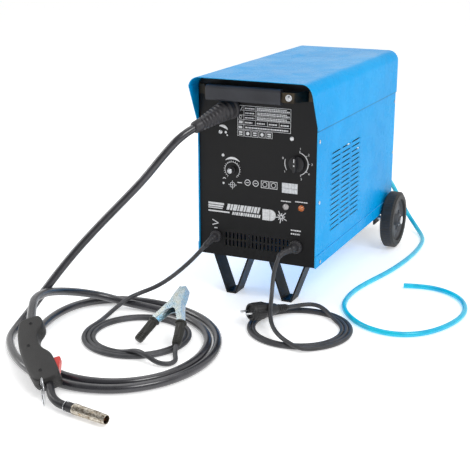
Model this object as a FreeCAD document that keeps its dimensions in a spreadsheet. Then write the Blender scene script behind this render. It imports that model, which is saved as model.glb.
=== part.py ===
"""MIG welder with a built-in undercarriage, torch, earth lead, mains lead and gas hose.

Millimetres, +Z up.  The origin is on the floor, under the middle of the machine, and the front
faces -Y.  Here y is counted from the face of the front panel, with +Y to the rear; the Placement of
every sub-part carries the setback from there to the origin.
"""
import FreeCAD, Part
import math
import os
from types import SimpleNamespace

import Sketcher
from FreeCAD import Placement, Rotation, Vector

DRIVING = {
    # casing
    "body_width": 290, "body_depth": 584, "underside": 100, "seam": 412, "body_top": 520,
    "metal": 1.5, "visor": 47, "side_lead": 5, "pan_flange": 27, "hood_radius": 26, "hood_gap": 0.3,
    "setback": 355, "divider_x": -22, "screw_radius": 2,
    # hood hinges
    "hinge_x": 95, "hinge_y": 587.5, "hinge_z": 515, "knuckle_radius": 3.2, "hinge_pin": 1.5,
    # undercarriage
    "left_foot_x": -74, "right_foot_x": 67, "foot_y": 22, "foot_width": 46, "strap": 4,
    "axle_y": 540, "axle_radius": 6, "wheel_radius": 75, "wheel_x": 150, "wheel_width": 34,
    "tray_half": 88, "tray_end": 757, "tray_metal": 2, "bottle_gap": 72,
    # controls
    "switch_x": 96, "switch_z": 336, "speed_x": -61, "speed_z": 307, "knob_gap": 2, "knob_shaft": 3,
    "lamp_radius": 5.4,
    # outlets
    "torch_x": -65, "torch_z": 449, "earth_x": -102, "mains_x": 97, "gland_z": 145,
    "gas_x": 112, "gas_z": 160,
    # power section
    "core_x": 30, "core_y": 160, "core_width": 85, "core_depth": 160, "core_height": 135,
    "fan_x": 65, "fan_z": 300, "fan_radius": 55,
    # wire feed
    "spool_y": 330, "spool_z": 364, "spool_radius": 100, "spool_bore": 25, "barrel_radius": 45,
    "wire_radius": 85, "spool_x": -92.5, "spool_width": 55,
    "feed_y": 110, "drive_z": 434, "drive_radius": 15, "roller_z": 462.8, "roller_radius": 13,
    "pivot_y": 75, "pivot_z": 463, "roller_pin": 4,
    # cords
    "hose_size": 18, "earth_size": 10, "mains_size": 9.5, "gas_size": 12,
    "coil_inner": 88, "coil_outer": 120, "coil_height": 12,
    # clearances
    "running_fit": 0.06, "hole_gap": 0.05,
}

DOC = FreeCAD.newDocument("mig_welder")
NODES = []


# ---------------------------------------------------------------- sizes that keep their formula

class Size:
    """A length that knows its number and its formula over the spreadsheet's aliases."""

    def __init__(self, value, text):
        self.value = value
        self.text = text

    def __add__(self, other):
        return Size(self.value + number(other), f"({self.text} + {formula(other)})")

    def __radd__(self, other):
        return Size(number(other) + self.value, f"({formula(other)} + {self.text})")

    def __sub__(self, other):
        return Size(self.value - number(other), f"({self.text} - {formula(other)})")

    def __rsub__(self, other):
        return Size(number(other) - self.value, f"({formula(other)} - {self.text})")

    def __mul__(self, other):
        return Size(self.value * number(other), f"({self.text} * {formula(other)})")

    __rmul__ = __mul__

    def __truediv__(self, other):
        return Size(self.value / number(other), f"({self.text} / {formula(other)})")

    def __neg__(self):
        return Size(-self.value, f"(0 - {self.text})")


def number(length):
    return length.value if isinstance(length, Size) else float(length)


def formula(length):
    return length.text if isinstance(length, Size) else f"({float(length)})"


D = SimpleNamespace(**{alias: Size(float(value), f"dims.{alias}") for alias, value in DRIVING.items()})


def write_sheet():
    table = DOC.addObject("Spreadsheet::Sheet", "dims")
    for row, (alias, value) in enumerate(DRIVING.items(), start=1):
        table.set(f"A{row}", alias)
        table.set(f"B{row}", str(value))
        table.setAlias(f"B{row}", alias)
    DOC.recompute()


def bind(item, name, length):
    """Sets a length property, and ties it to the sheet when the length has a formula."""
    setattr(item, name, number(length))
    if isinstance(length, Size):
        item.setExpression(name, length.text)


def place(item, at, turn=Rotation()):
    item.Placement = Placement(Vector(*[number(value) for value in at]), turn)
    for axis, value in zip("xyz", at):
        if isinstance(value, Size):
            item.setExpression(f"Placement.Base.{axis}", value.text)
    return item


def node(label, item, at=(0, 0, 0), turn=Rotation()):
    """Registers a finished sub-part under its own name, moved from the front panel to the origin."""
    item.Label = label
    place(item, (at[0], at[1] - D.setback, at[2]), turn)
    NODES.append(item)


# ---------------------------------------------------------------- PartDesign helpers

def body(name):
    return DOC.addObject("PartDesign::Body", f"{name}_body")


def origin(part, role):
    return next(item for item in part.Origin.OriginFeatures if item.Role == role)


def rect(x_low, x_high, y_low, y_high):
    return [(x_low, y_low), (x_high, y_low), (x_high, y_high), (x_low, y_high)]


def tie(item, kind, where, length):
    index = item.addConstraint(Sketcher.Constraint(kind, *where, number(length)))
    if isinstance(length, Size):
        item.setExpression(f"Constraints[{index}]", length.text)


def draw_outline(item, points):
    first = item.GeometryCount
    ends = [Vector(number(x), number(y), 0) for x, y in points]
    lines = [Part.LineSegment(start, end) for start, end in zip(ends, ends[1:] + ends[:1])]
    item.addGeometry(lines, False)
    for index, (x, y) in enumerate(points):
        following = first + (index + 1) % len(points)
        item.addConstraint(Sketcher.Constraint("Coincident", first + index, 2, following, 1))
        tie(item, "DistanceX", (-1, 1, first + index, 1), x)
        tie(item, "DistanceY", (-1, 1, first + index, 1), y)


def draw_circle(item, x, y, radius):
    circle = Part.Circle(Vector(number(x), number(y), 0), Vector(0, 0, 1), number(radius))
    index = item.addGeometry(circle, False)
    tie(item, "DistanceX", (-1, 1, index, 3), x)
    tie(item, "DistanceY", (-1, 1, index, 3), y)
    tie(item, "Radius", (index,), radius)


def sketch(part, plane, level, shapes):
    """Closed outlines (lists of points) and circles (x, y, radius) on an origin plane of the body.

    XY is seen from above, XZ from the front and YZ from the right; the level is the plane's
    place along its world axis, so XZ, whose normal is -Y, takes it with the other sign.
    """
    item = part.newObject("Sketcher::SketchObject", f"{part.Name}_sketch")
    item.AttachmentSupport = (origin(part, f"{plane}_Plane"), [""])
    item.MapMode = "FlatFace"
    offset = -level if plane == "XZ" else level
    item.AttachmentOffset = Placement(Vector(0, 0, number(offset)), Rotation())
    if isinstance(offset, Size):
        item.setExpression("AttachmentOffset.Base.z", offset.text)
    for shape in shapes:
        if isinstance(shape, tuple):
            draw_circle(item, *shape)
        else:
            draw_outline(item, shape)
    return item


def pad(part, plane, shapes, low, high):
    item = part.newObject("PartDesign::Pad", "pad")
    item.Profile = sketch(part, plane, low, shapes)
    bind(item, "Length", high - low)
    item.Reversed = plane == "XZ"
    return item


def pierce(part, plane, shapes):
    """Holes straight through the whole body, both ways from the origin plane."""
    item = part.newObject("PartDesign::Pocket", "pierce")
    item.Profile = sketch(part, plane, 0, shapes)
    item.Type = "ThroughAll"
    item.SideType = "Symmetric"
    return item


def carve(part, plane, shapes, low, high):
    """A pocket between two levels; a pocket is cut against the sketch's normal."""
    item = part.newObject("PartDesign::Pocket", "carve")
    item.Profile = sketch(part, plane, low if plane == "XZ" else high, shapes)
    bind(item, "Length", high - low)
    return item


def rounded(part, radius, chosen):
    DOC.recompute()
    base = part.Tip
    names = [f"Edge{index}" for index, edge in enumerate(base.Shape.Edges, start=1) if chosen(edge)]
    item = part.newObject("PartDesign::Fillet", "rounded")
    item.Base = (base, names)
    bind(item, "Radius", radius)
    DOC.recompute()


def repeat(part, features, first, second=None):
    """Repeats features in one or two directions, each given as (axis, reach, count)."""
    item = part.newObject("PartDesign::LinearPattern", "repeat")
    item.Originals = features
    item.Direction = (origin(part, f"{first[0]}_Axis"), [""])
    item.Length = first[1]
    item.Occurrences = first[2]
    if second:
        item.Direction2 = (origin(part, f"{second[0]}_Axis"), [""])
        item.Length2 = second[1]
        item.Occurrences2 = second[2]
    part.Tip = item


def turned(name, outline):
    """A body of revolution: the outline is (along the axis, radius), and the axis is its own X."""
    part = body(name)
    item = part.newObject("PartDesign::Revolution", "turned")
    item.Profile = sketch(part, "XZ", 0, [outline])
    item.ReferenceAxis = (item.Profile[0], ["H_Axis"])
    item.Angle = 360
    return part


def spread_round(part, feature, count):
    item = part.newObject("PartDesign::PolarPattern", "spread_round")
    item.Originals = [feature]
    item.Axis = (origin(part, "X_Axis"), [""])
    item.Angle = 360
    item.Occurrences = count
    part.Tip = item


# ---------------------------------------------------------------- Part helpers

ALONG = {
    "x": Rotation(Vector(0, 1, 0), 90),
    "y": Rotation(Vector(1, 0, 0), -90),
    "z": Rotation(),
    "-x": Rotation(Vector(0, 1, 0), -90),
    "-y": Rotation(Vector(1, 0, 0), 90),
    "-z": Rotation(Vector(1, 0, 0), 180),
}


def towards(direction):
    return Rotation(Vector(0, 0, 1), Vector(*direction))


def direction_of(along):
    return ALONG[along] if isinstance(along, str) else towards(along)


def box(x, y, z):
    """A block between (low, high) pairs."""
    item = DOC.addObject("Part::Box", "block")
    for name, (low, high) in zip(("Length", "Width", "Height"), (x, y, z)):
        bind(item, name, high - low)
    return place(item, (x[0], y[0], z[0]))


def rod(radius, length, at, along="z"):
    item = DOC.addObject("Part::Cylinder", "rod")
    bind(item, "Radius", radius)
    bind(item, "Height", length)
    return place(item, at, direction_of(along))


def cone(radius, end_radius, length, at, along="z"):
    item = DOC.addObject("Part::Cone", "cone")
    bind(item, "Radius1", radius)
    bind(item, "Radius2", end_radius)
    bind(item, "Height", length)
    return place(item, at, direction_of(along))


def joined(*pieces):
    item = DOC.addObject("Part::MultiFuse", "joined")
    item.Shapes = list(pieces)
    return item


def cut(base, *tools):
    item = DOC.addObject("Part::Cut", "cut")
    item.Base = base
    item.Tool = tools[0] if len(tools) == 1 else joined(*tools)
    return item


def group(*pieces):
    item = DOC.addObject("Part::Compound", "group")
    item.Links = list(pieces)
    return item


def swept(path, radius):
    """A round bar along a wire."""
    start = path.OrderedVertexes[0].Point
    heading = path.OrderedEdges[0].tangentAt(path.OrderedEdges[0].FirstParameter)
    ring = Part.Wire(Part.Circle(start, heading, radius).toShape())
    return path.makePipeShell([ring], True, False)


def solid_feature(shape):
    item = DOC.addObject("Part::Feature", "shaped")
    item.Shape = shape
    return item


# ---------------------------------------------------------------- casing

HOLE = D.screw_radius + D.hole_gap
FRONT_SCREWS = [(8, 388), (13, 250)]
REAR_SCREWS = [(578, 387), (578, 250)]
PAN_SCREWS = [(24, 109), (560, 109)]
DOME_SCREWS = [(-90, 392), (83, 391)]
DOME_RADIUS = 2.5
FOOT_BOLT_X = 34
FOOT_BOLT_Y = 45
FOOT_BOLT_RADIUS = 2.5
INNER = D.body_width / 2 - D.metal
CORNER_RADIUS = 24


def foot_bolt_places():
    return [(foot + side, FOOT_BOLT_Y) for foot in (D.left_foot_x, D.right_foot_x)
            for side in (-FOOT_BOLT_X, FOOT_BOLT_X)]


def holes(places, radius):
    return [(first, second, radius) for first, second in places]


def both_flanges(part, outline, inner):
    """The same sheet-metal flange on the right and on the left, one metal thickness wide."""
    pad(part, "YZ", [outline], inner, inner + D.metal)
    pad(part, "YZ", [outline], -inner - D.metal, -inner)


def make_base_pan():
    part = body("base_pan")
    outside = D.body_width / 2 + D.metal
    plate = rect(-outside, outside, D.metal, D.body_depth)
    pad(part, "XY", [plate], D.underside, D.underside + D.metal)
    flange = rect(-D.side_lead, D.body_depth, D.underside, D.underside + D.pan_flange)
    both_flanges(part, flange, D.body_width / 2)
    pierce(part, "YZ", holes(PAN_SCREWS, HOLE))
    pierce(part, "XY", holes(foot_bolt_places(), FOOT_BOLT_RADIUS + D.hole_gap))
    node("base_pan", part)


def upright_panel(name, low_y, bottom, top, flange):
    """A front or rear panel: a plate with round top corners and a flange along each side."""
    part = body(name)
    pad(part, "XZ", [rect(-INNER, INNER, bottom, top)], low_y, low_y + D.metal)
    height = number(top)
    rounded(part, CORNER_RADIUS, lambda edge: edge.BoundBox.ZMin > height - 0.1
            and edge.BoundBox.XLength < 0.1)
    both_flanges(part, flange, INNER - D.metal)
    return part


def make_front_panel():
    flange = rect(D.metal, 16, D.underside + 3, D.seam - 2)
    part = upright_panel("front_panel", 0, D.underside, D.body_top - 3.5, flange)
    pierce(part, "YZ", holes(FRONT_SCREWS, HOLE))
    openings = [
        (D.torch_x, D.torch_z, 20),
        (D.speed_x, D.speed_z, 4),
        (D.switch_x, D.switch_z, 5),
        (D.earth_x, D.gland_z, 9),
        (D.mains_x, D.gland_z, 9),
    ]
    lamps = holes(LAMPS, D.lamp_radius + D.hole_gap)
    pierce(part, "XZ", openings + lamps + holes(DOME_SCREWS, DOME_RADIUS + D.hole_gap))
    slot_pitch = 9.6
    columns = 17
    half_row = slot_pitch * (columns - 1) / 2
    slot = pierce(part, "XZ", [rect(-half_row - 1.75, -half_row + 1.75, 126, 140)])
    repeat(part, [slot], ("X", 2 * half_row, columns), ("Z", 18, 2))
    node("front_panel", part)


def make_rear_panel():
    flange = rect(D.body_depth - 15, D.body_depth - D.metal, D.underside + 4, D.seam - 2)
    part = upright_panel("rear_panel", D.body_depth - D.metal, D.underside + D.metal,
                         D.body_top - 4, flange)
    pierce(part, "YZ", holes(REAR_SCREWS, HOLE))
    pierce(part, "XZ", [(D.gas_x, D.gas_z, 5.2)])
    half_grille = 50
    slot = pierce(part, "XZ", [rect(D.fan_x - half_grille, D.fan_x + half_grille,
                                    D.fan_z - half_grille, D.fan_z - half_grille + 4)])
    repeat(part, [slot], ("Z", 96, 13))
    node("rear_panel", part)


def make_side_panel(name, inner, outer):
    """A flat side between the pan's flange and the hood's skirt."""
    part = body(name)
    plate = rect(-D.side_lead, D.body_depth, D.underside + D.metal, D.seam + 7)
    pad(part, "YZ", [plate], inner, outer)
    pierce(part, "YZ", holes(FRONT_SCREWS + REAR_SCREWS + PAN_SCREWS, HOLE))
    node(name, part)
    return part


def add_louvres(part):
    """Three columns of pressed louvres: an outward lip over a slit, repeated up and along."""
    face = D.body_width / 2
    first_z = 163
    lip = pad(part, "XZ", [[
        (face - 0.5, first_z + 7.5), (face + 2.6, first_z + 1), (face + 2.6, first_z),
        (face + 1.7, first_z), (face, first_z + 4.5), (face - 0.5, first_z + 4.5),
    ]], 88, 148)
    slit = pierce(part, "YZ", [rect(89, 147, first_z, first_z + 4.2)])
    repeat(part, [lip, slit], ("Z", 180, 16), ("Y", 140, 3))


def make_divider():
    part = body("divider_panel")
    pad(part, "YZ", [rect(3, 580, D.underside + D.metal, 490)], D.divider_x, D.divider_x + D.metal)
    pierce(part, "YZ", [(D.feed_y, D.drive_z, 6)])
    node("divider_panel", part)


def make_hood():
    """The lid over both compartments: a bent sheet, open below and at both ends."""
    part = body("top_hood")
    half = D.body_width / 2 + D.hood_gap + D.metal
    rear = D.body_depth + 2
    pad(part, "XZ", [rect(-half, half, D.seam, D.body_top)], -D.visor, rear)
    rounded(part, D.hood_radius, lambda edge: edge.BoundBox.ZMin > number(D.body_top) - 0.1
            and edge.BoundBox.XLength < 0.1)
    base = part.Tip
    seam = number(D.seam)
    open_faces = [f"Face{index}" for index, face in enumerate(base.Shape.Faces, start=1)
                  if face.BoundBox.YLength < 0.1 or face.BoundBox.ZMax < seam + 0.1]
    shell = part.newObject("PartDesign::Thickness", "shell")
    shell.Base = (base, open_faces)
    bind(shell, "Value", D.metal)
    shell.Reversed = True
    ahead = -D.visor - 13
    pierce(part, "YZ", [[
        (ahead, D.body_top - 20), (-D.visor, D.body_top - 20), (-D.side_lead, D.seam),
        (-D.side_lead, D.seam - 7), (ahead, D.seam - 7),
    ]])
    node("top_hood", part)


def make_hood_hinges():
    """Two butt hinges at the top of the rear panel; the pin stays with the fixed leaves."""
    half_leaf = 18
    half_gap = 8
    half_middle = 7
    fixed = []
    moving = []
    for centre in (-D.hinge_x, D.hinge_x):
        leaf_y = (D.body_depth, D.body_depth + D.metal)
        pieces = [box((centre - half_leaf, centre + half_leaf), leaf_y, (484, 510))]
        for low, high in ((-half_leaf, -half_gap), (half_gap, half_leaf)):
            ends = (centre + low, centre + high)
            pieces.append(box(ends, leaf_y, (509, D.hinge_z)))
            pieces.append(rod(D.knuckle_radius, high - low, (ends[0], D.hinge_y, D.hinge_z), "x"))
        pieces.append(rod(D.hinge_pin, 2 * half_leaf, (centre - half_leaf, D.hinge_y, D.hinge_z), "x"))
        fixed.append(joined(*pieces))
        middle = (centre - half_middle, centre + half_middle)
        leaf = box(middle, (556, D.hinge_y), (D.body_top - 3, D.body_top - D.metal))
        knuckle = rod(D.knuckle_radius, 2 * half_middle, (middle[0], D.hinge_y, D.hinge_z), "x")
        bore = rod(D.hinge_pin + D.hole_gap, 2 * half_leaf,
                   (centre - half_leaf, D.hinge_y, D.hinge_z), "x")
        moving.append(cut(joined(leaf, knuckle), bore))
    node("hood_hinges_fixed", group(*fixed))
    node("hood_hinges_moving", group(*moving))


def make_handle():
    """A bent steel strap across the panel under the visor, with a soft sleeve on it."""
    strap = body("handle_bracket")
    outline = [
        (-141, 0), (-141, -3), (-127.6, -3), (-108.6, -40), (102.6, -40), (121.6, -3), (135, -3),
        (135, 0), (119.8, 0), (100.8, -37), (-106.8, -37), (-125.8, 0),
    ]
    pad(strap, "XY", [outline], 476, 498)
    node("handle_bracket", strap)
    grip = body("handle_grip")
    pad(grip, "YZ", [rect(-46, -28, 470, 504)], -105, 72)
    rounded(grip, 7, lambda edge: edge.BoundBox.XLength > 100)
    pierce(grip, "YZ", [rect(-40.1, -36.9, 475.8, 498.2)])
    node("handle_grip", grip)


def screw(at, along, head_radius=4.2, shank_radius=D.screw_radius, reach=4):
    """A low dome head with a short shank behind it; `along` points out of the surface."""
    inward = along[1:] if along.startswith("-") else f"-{along}"
    rim = rod(head_radius, 0.8, at, along)
    dome = cone(head_radius, head_radius * 0.55, 1.6, at, along)
    return joined(rim, dome, rod(shank_radius, reach, at, inward))


def make_screws():
    screws = []
    for out, side in (("x", D.body_width / 2), ("-x", -D.body_width / 2)):
        for y, z in FRONT_SCREWS + REAR_SCREWS:
            screws.append(screw((side, y, z), out))
        flange = side + D.metal if out == "x" else side - D.metal
        for y, z in PAN_SCREWS:
            screws.append(screw((flange, y, z), out))
    for x, z in DOME_SCREWS:
        screws.append(screw((x, 0, z), "-y", 4.5, shank_radius=DOME_RADIUS))
    for x, y in foot_bolt_places():
        screws.append(screw((x, y, D.underside - D.strap), "-z", 5, shank_radius=FOOT_BOLT_RADIUS,
                            reach=8))
    node("casing_screws", group(*screws))


# ---------------------------------------------------------------- undercarriage

def make_feet():
    """Each front foot is one strap bent into a V with a flat toe and two flanges for bolts."""
    lean = 36
    for name, centre in (("left_front_foot", D.left_foot_x), ("right_front_foot", D.right_foot_x)):
        part = body(name)
        half = [
            (12, 0), (12 + lean, D.underside), (28, D.underside), (28, D.underside - D.strap),
            (42.3, D.underside - D.strap), (9.2, D.strap),
        ]
        mirrored = [(-x, z) for x, z in reversed(half)]
        outline = [(centre + x, z) for x, z in half + mirrored]
        pad(part, "XZ", [outline], D.foot_y, D.foot_y + D.foot_width)
        bolts = [(centre + side, FOOT_BOLT_Y) for side in (-FOOT_BOLT_X, FOOT_BOLT_X)]
        flange_holes = holes(bolts, FOOT_BOLT_RADIUS + D.hole_gap)
        carve(part, "XY", flange_holes, D.underside - D.strap - 1, D.underside)
        node(name, part)


def make_bottle_tray():
    """The gas bottle's tray behind the machine, with the axle's lugs under its cross strap."""
    part = body("bottle_tray")
    top = D.underside
    low = top - D.tray_metal
    lug_y = (D.axle_y - 25, D.axle_y + 25)
    lug_half = 122
    outline = [
        (-D.tray_half, D.tray_end), (-D.tray_half, lug_y[1]), (-lug_half, lug_y[1]),
        (-lug_half, lug_y[0]), (-D.tray_half, lug_y[0]), (-D.tray_half, 500),
        (D.tray_half, 500), (D.tray_half, lug_y[0]), (lug_half, lug_y[0]),
        (lug_half, lug_y[1]), (D.tray_half, lug_y[1]), (D.tray_half, D.tray_end),
    ]
    pad(part, "XY", [outline], low, top)
    for outer in (D.tray_half, -D.tray_half + D.tray_metal):
        pad(part, "YZ", [rect(lug_y[1], D.tray_end, low - 14, low)], outer - D.tray_metal, outer)
    for outer in (lug_half, -lug_half + 4):
        pad(part, "YZ", [rect(*lug_y, 60, low)], outer - 4, outer)
    pad(part, "XZ", [rect(-D.tray_half, D.tray_half, low, top + 25)],
        D.tray_end - D.tray_metal, D.tray_end)
    pierce(part, "YZ", [(D.axle_y, D.wheel_radius, D.axle_radius + 0.02)])
    node("bottle_tray", part)


def make_cradle():
    """The U that the bottle leans in, high on the rear panel."""
    part = body("bottle_cradle")
    inner = D.bottle_gap
    outer = inner + 3
    back = D.body_depth
    outline = [
        (-outer, back), (outer, back), (outer, back + 56), (inner, back + 56), (inner, back + 3),
        (-inner, back + 3), (-inner, back + 56), (-outer, back + 56),
    ]
    pad(part, "XY", [outline], 380, 410)
    node("bottle_cradle", part)


def make_wheels():
    wheel_end = D.wheel_x + D.wheel_width
    axle = [rod(D.axle_radius, 2 * wheel_end + 6, (-wheel_end - 3, D.axle_y, D.wheel_radius), "x")]
    for side, out in ((1, "x"), (-1, "-x")):
        axle.append(rod(11, 5, (side * (wheel_end + 1), D.axle_y, D.wheel_radius), out))
        axle.append(rod(10, 9, (side * (D.wheel_x - 10), D.axle_y, D.wheel_radius), out))
    node("wheel_axle", joined(*axle))
    tyre = D.wheel_radius
    bore = D.axle_radius + D.hole_gap
    width = D.wheel_width
    outline = [
        (2, bore), (2, 16), (13, 16), (13, 52), (0, 56), (0, tyre - 7), (5, tyre), (width - 5, tyre),
        (width, tyre - 7), (width, 56), (width - 13, 52), (width - 13, 16), (width, 16), (width, bore),
    ]
    for name, start in (("left_wheel", -wheel_end), ("right_wheel", D.wheel_x)):
        part = turned(name, outline)
        hole = pierce(part, "YZ", [(0, 34, 9)])
        spread_round(part, hole, 5)
        node(name, part, (start, D.axle_y, D.wheel_radius))


# ---------------------------------------------------------------- controls and outlets

LAMPS = [(71, 235), (108, 236)]


def make_controls():
    shaft_bore = D.knob_shaft + D.hole_gap
    centre = (D.switch_x, D.switch_z)
    housing = box((centre[0] - 20, centre[0] + 20), (2, 32), (centre[1] - 20, centre[1] + 20))
    node("power_switch", cut(housing, rod(shaft_bore, 40, (centre[0], 0, centre[1]), "y")))

    disc = rod(18, 4, (centre[0], -D.knob_gap, centre[1]), "-y")
    bar = box((centre[0] - 4, centre[0] + 4), (-20, -D.knob_gap - 3), (centre[1] - 17, centre[1] + 17))
    shaft = rod(D.knob_shaft, D.knob_gap + 31, (centre[0], -D.knob_gap - 1, centre[1]), "y")
    node("power_knob", joined(disc, bar, shaft))

    x, z = D.speed_x, D.speed_z
    knob = joined(rod(8, 14, (x, -D.knob_gap, z), "-y"),
                  rod(D.knob_shaft, D.knob_gap + 23, (x, -D.knob_gap - 1, z), "y"))
    node("speed_knob", knob)
    board = joined(box((-110, -24), (12, 14), (270, 350)), rod(8, 10, (x, 14, z), "y"),
                   box((-104, -84), (14, 30), (318, 340)), box((-44, -30), (14, 26), (280, 312)))
    node("control_board", cut(board, rod(shaft_bore, 20, (x, 8, z), "y")))

    lamps = []
    for x, z in LAMPS:
        lens = [rod(7, 1.5, (x, 0, z), "-y"), cone(6.2, 3.2, 3, (x, -1.5, z), "-y")]
        lamps.append(joined(*lens, rod(D.lamp_radius, 20, (x, 0, z), "y")))
    node("indicator_lamps", group(*lamps))


def unit(vector):
    return vector / vector.Length


TORCH_EXIT = Vector(-112, -90, 414)
EARTH_EXIT = Vector(-112, -42, 130)
MAINS_EXIT = Vector(76, -50, 132)


def make_torch_boot():
    """A ribbed rubber boot that leads the hose out of the panel, down and to the left."""
    root = Vector(number(D.torch_x), 0, number(D.torch_z))
    axis = TORCH_EXIT - root
    length = axis.Length
    heading = unit(axis)
    start = root - heading * 10
    end_radius = 12.5
    root_radius = 22
    pieces = [cone(root_radius, end_radius, length + 10, tuple(start), tuple(heading))]
    ribs = 7
    for index in range(ribs):
        share = 0.3 + 0.62 * index / (ribs - 1)
        radius = root_radius + (end_radius - root_radius) * share + 1.4
        pieces.append(rod(radius, 5, tuple(root + axis * share), tuple(heading)))
    behind_panel = box((-130, 0), (0, 60), (380, 500))
    flange = rod(26, 6, (D.torch_x, 0, D.torch_z), "-y")
    node("torch_boot", joined(cut(joined(*pieces), behind_panel), flange))


def make_gland(name, x, ring_radius, exit_point, cable_size):
    """A round nut on the panel, its threaded body through it and a tapered strain relief."""
    front = Vector(number(x), -4, number(D.gland_z))
    axis = exit_point - front
    relief = cone(ring_radius * 0.68, number(cable_size) / 2 + 1.5, axis.Length, tuple(front),
                  tuple(unit(axis)))
    nut = rod(ring_radius, 8, (x, 0, D.gland_z), "-y")
    thread = rod(8.9, 15, (x, 0, D.gland_z), "y")
    behind_panel = box((x - 30, x + 30), (0, 40), (D.gland_z - 30, D.gland_z + 30))
    node(name, joined(cut(relief, behind_panel), nut, thread))


# ---------------------------------------------------------------- power section

def make_transformer():
    floor = D.underside + D.metal
    x = (D.core_x, D.core_x + D.core_width)
    y = (D.core_y, D.core_y + D.core_depth)
    limb = 26
    window = 27
    core = body("transformer_core")
    pad(core, "YZ", [rect(*y, floor, floor + D.core_height)], *x)
    for low in (y[0] + limb, y[1] - limb - window):
        pierce(core, "YZ", [rect(low, low + window, floor + 27.5, floor + 107.5)])
    node("transformer_core", core)
    slack = 0.5
    reach = 15.5
    winding = body("transformer_windings")
    outer = rect(x[0] - reach, x[1] + reach, y[0] + limb + 1, y[1] - limb - 1)
    inner = rect(x[0] - slack, x[1] + slack, y[0] + limb + window - slack,
                 y[1] - limb - window + slack)
    pad(winding, "XY", [outer, inner], floor + 28.5, floor + 106.5)
    node("transformer_windings", winding)


def make_power_parts():
    floor = D.underside + D.metal
    choke = joined(box((50, 100), (380, 450), (floor, 160)), box((42, 108), (394, 436), (floor + 12, 150)))
    node("output_choke", choke)
    sink = body("rectifier")
    pad(sink, "XY", [rect(20, 130, 462, 496)], floor, floor + 6)
    fin = pad(sink, "XY", [rect(20, 22, 462, 496)], floor + 6, floor + 90)
    repeat(sink, [fin], ("X", 108, 10))
    node("rectifier", sink)

    x, z = D.fan_x, D.fan_z
    motor = [rod(25, 38, (x, 500, z), "y"), box((x - 64, x + 64), (500, 506), (z - 8, z + 8))]
    for low in (x - 64, x + 60):
        motor.append(box((low, low + 4), (506, D.body_depth - D.metal), (z - 8, z + 8)))
    shaft_gap = rod(3 + D.hole_gap, 20, (x, 520, z), "y")
    node("fan_motor", cut(joined(*motor), shaft_gap))

    hub = [rod(12, 18, (0, 0, 0), "y"), rod(3, 14, (0, -12, 0), "y")]
    blades = 7
    for index in range(blades):
        spin = Rotation(Vector(0, 1, 0), 360 * index / blades)
        pitch = Rotation(Vector(0, 0, 1), 32)
        blade = box((-10, 10), (-0.9, 0.9), (9, D.fan_radius))
        blade.Placement = Placement(Vector(0, 9, 0), spin * pitch).multiply(blade.Placement)
        hub.append(blade)
    node("fan_impeller", joined(*hub), (x, 541, z))

    node("gas_valve", joined(box((D.gas_x - 12, D.gas_x + 12), (546, 582), (D.gas_z - 12, D.gas_z + 12)),
                             rod(9, 26, (D.gas_x, 564, D.gas_z + 12), "z")))
    inlet = [rod(5, 4, (D.gas_x, 582, D.gas_z), "y"), rod(9, 8, (D.gas_x, D.body_depth, D.gas_z), "y"),
             rod(6.8, 20, (D.gas_x, D.body_depth + 8, D.gas_z), "y"),
             rod(8.4, 12, (D.gas_x, D.body_depth + 14, D.gas_z), "y")]
    node("gas_inlet", joined(*inlet))


# ---------------------------------------------------------------- wire feed

def make_feeder():
    """Feeder casting on the divider: roller pivot, motor bearing and the torch socket."""
    plate = box((-34, D.divider_x), (35, 170), (415, 486))
    socket = rod(12, 60, (D.torch_x, 0, D.torch_z), "y")
    arm = box((D.torch_x, -34), (44, 60), (D.torch_z - 8, D.torch_z + 8))
    pivot = rod(4, 26, (-60, D.pivot_y, D.pivot_z), "x")
    shaft_bore = rod(4 + D.running_fit, 30, (-40, D.feed_y, D.drive_z), "x")
    wire_bore = rod(1.5, 80, (D.torch_x, -5, D.torch_z), "y")
    node("feeder_plate", cut(joined(plate, socket, arm, pivot), shaft_bore, wire_bore))

    motor_face = D.divider_x + D.metal
    gear_head = rod(22, 24, (motor_face, D.feed_y, D.drive_z), "x")
    can = rod(18, 42, (motor_face + 24, D.feed_y, D.drive_z), "x")
    node("feed_motor", joined(gear_head, can))

    roll = rod(D.drive_radius, 10, (-70, D.feed_y, D.drive_z), "x")
    shaft = rod(4, 51, (-72, D.feed_y, D.drive_z), "x")
    node("drive_roll", joined(roll, shaft))

    arm_bar = box((-58, -50), (68, 136), (456, 470))
    roller_pin = rod(D.roller_pin, 15, (-73, D.feed_y, D.roller_z), "x")
    knob = joined(rod(3, 8, (-54, 127, 468), "z"), rod(7, 10, (-54, 127, 474), "z"))
    pivot_bore = rod(4 + D.running_fit, 20, (-64, D.pivot_y, D.pivot_z), "x")
    node("pressure_arm", cut(joined(arm_bar, roller_pin, knob), pivot_bore))
    roller = rod(D.roller_radius, 9.4, (-70, D.feed_y, D.roller_z), "x")
    roller_bore = rod(D.roller_pin + D.running_fit, 20, (-75, D.feed_y, D.roller_z), "x")
    node("pressure_roll", cut(roller, roller_bore))


def make_spool():
    axis = (0, D.spool_y, D.spool_z)
    hub_length = D.divider_x - D.spool_x + 7
    hub = joined(rod(D.spool_bore - D.running_fit, hub_length, (D.spool_x - 7, *axis[1:]), "x"),
                 rod(34, 12, (D.divider_x - 12, *axis[1:]), "x"),
                 rod(31, 6, (D.spool_x - 7, *axis[1:]), "x"))
    node("spool_hub", hub)
    flange = 2.5
    width = D.spool_width
    outline = [
        (0, D.spool_bore), (0, D.spool_radius), (flange, D.spool_radius), (flange, D.barrel_radius),
        (width - flange, D.barrel_radius), (width - flange, D.spool_radius),
        (width, D.spool_radius), (width, D.spool_bore),
    ]
    spool = turned("wire_spool", outline)
    node("wire_spool", spool, (D.spool_x, *axis[1:]))
    winding = turned("wire_winding", rect(flange, width - flange, D.barrel_radius, D.wire_radius))
    node("wire_winding", winding, (D.spool_x, *axis[1:]))


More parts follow.
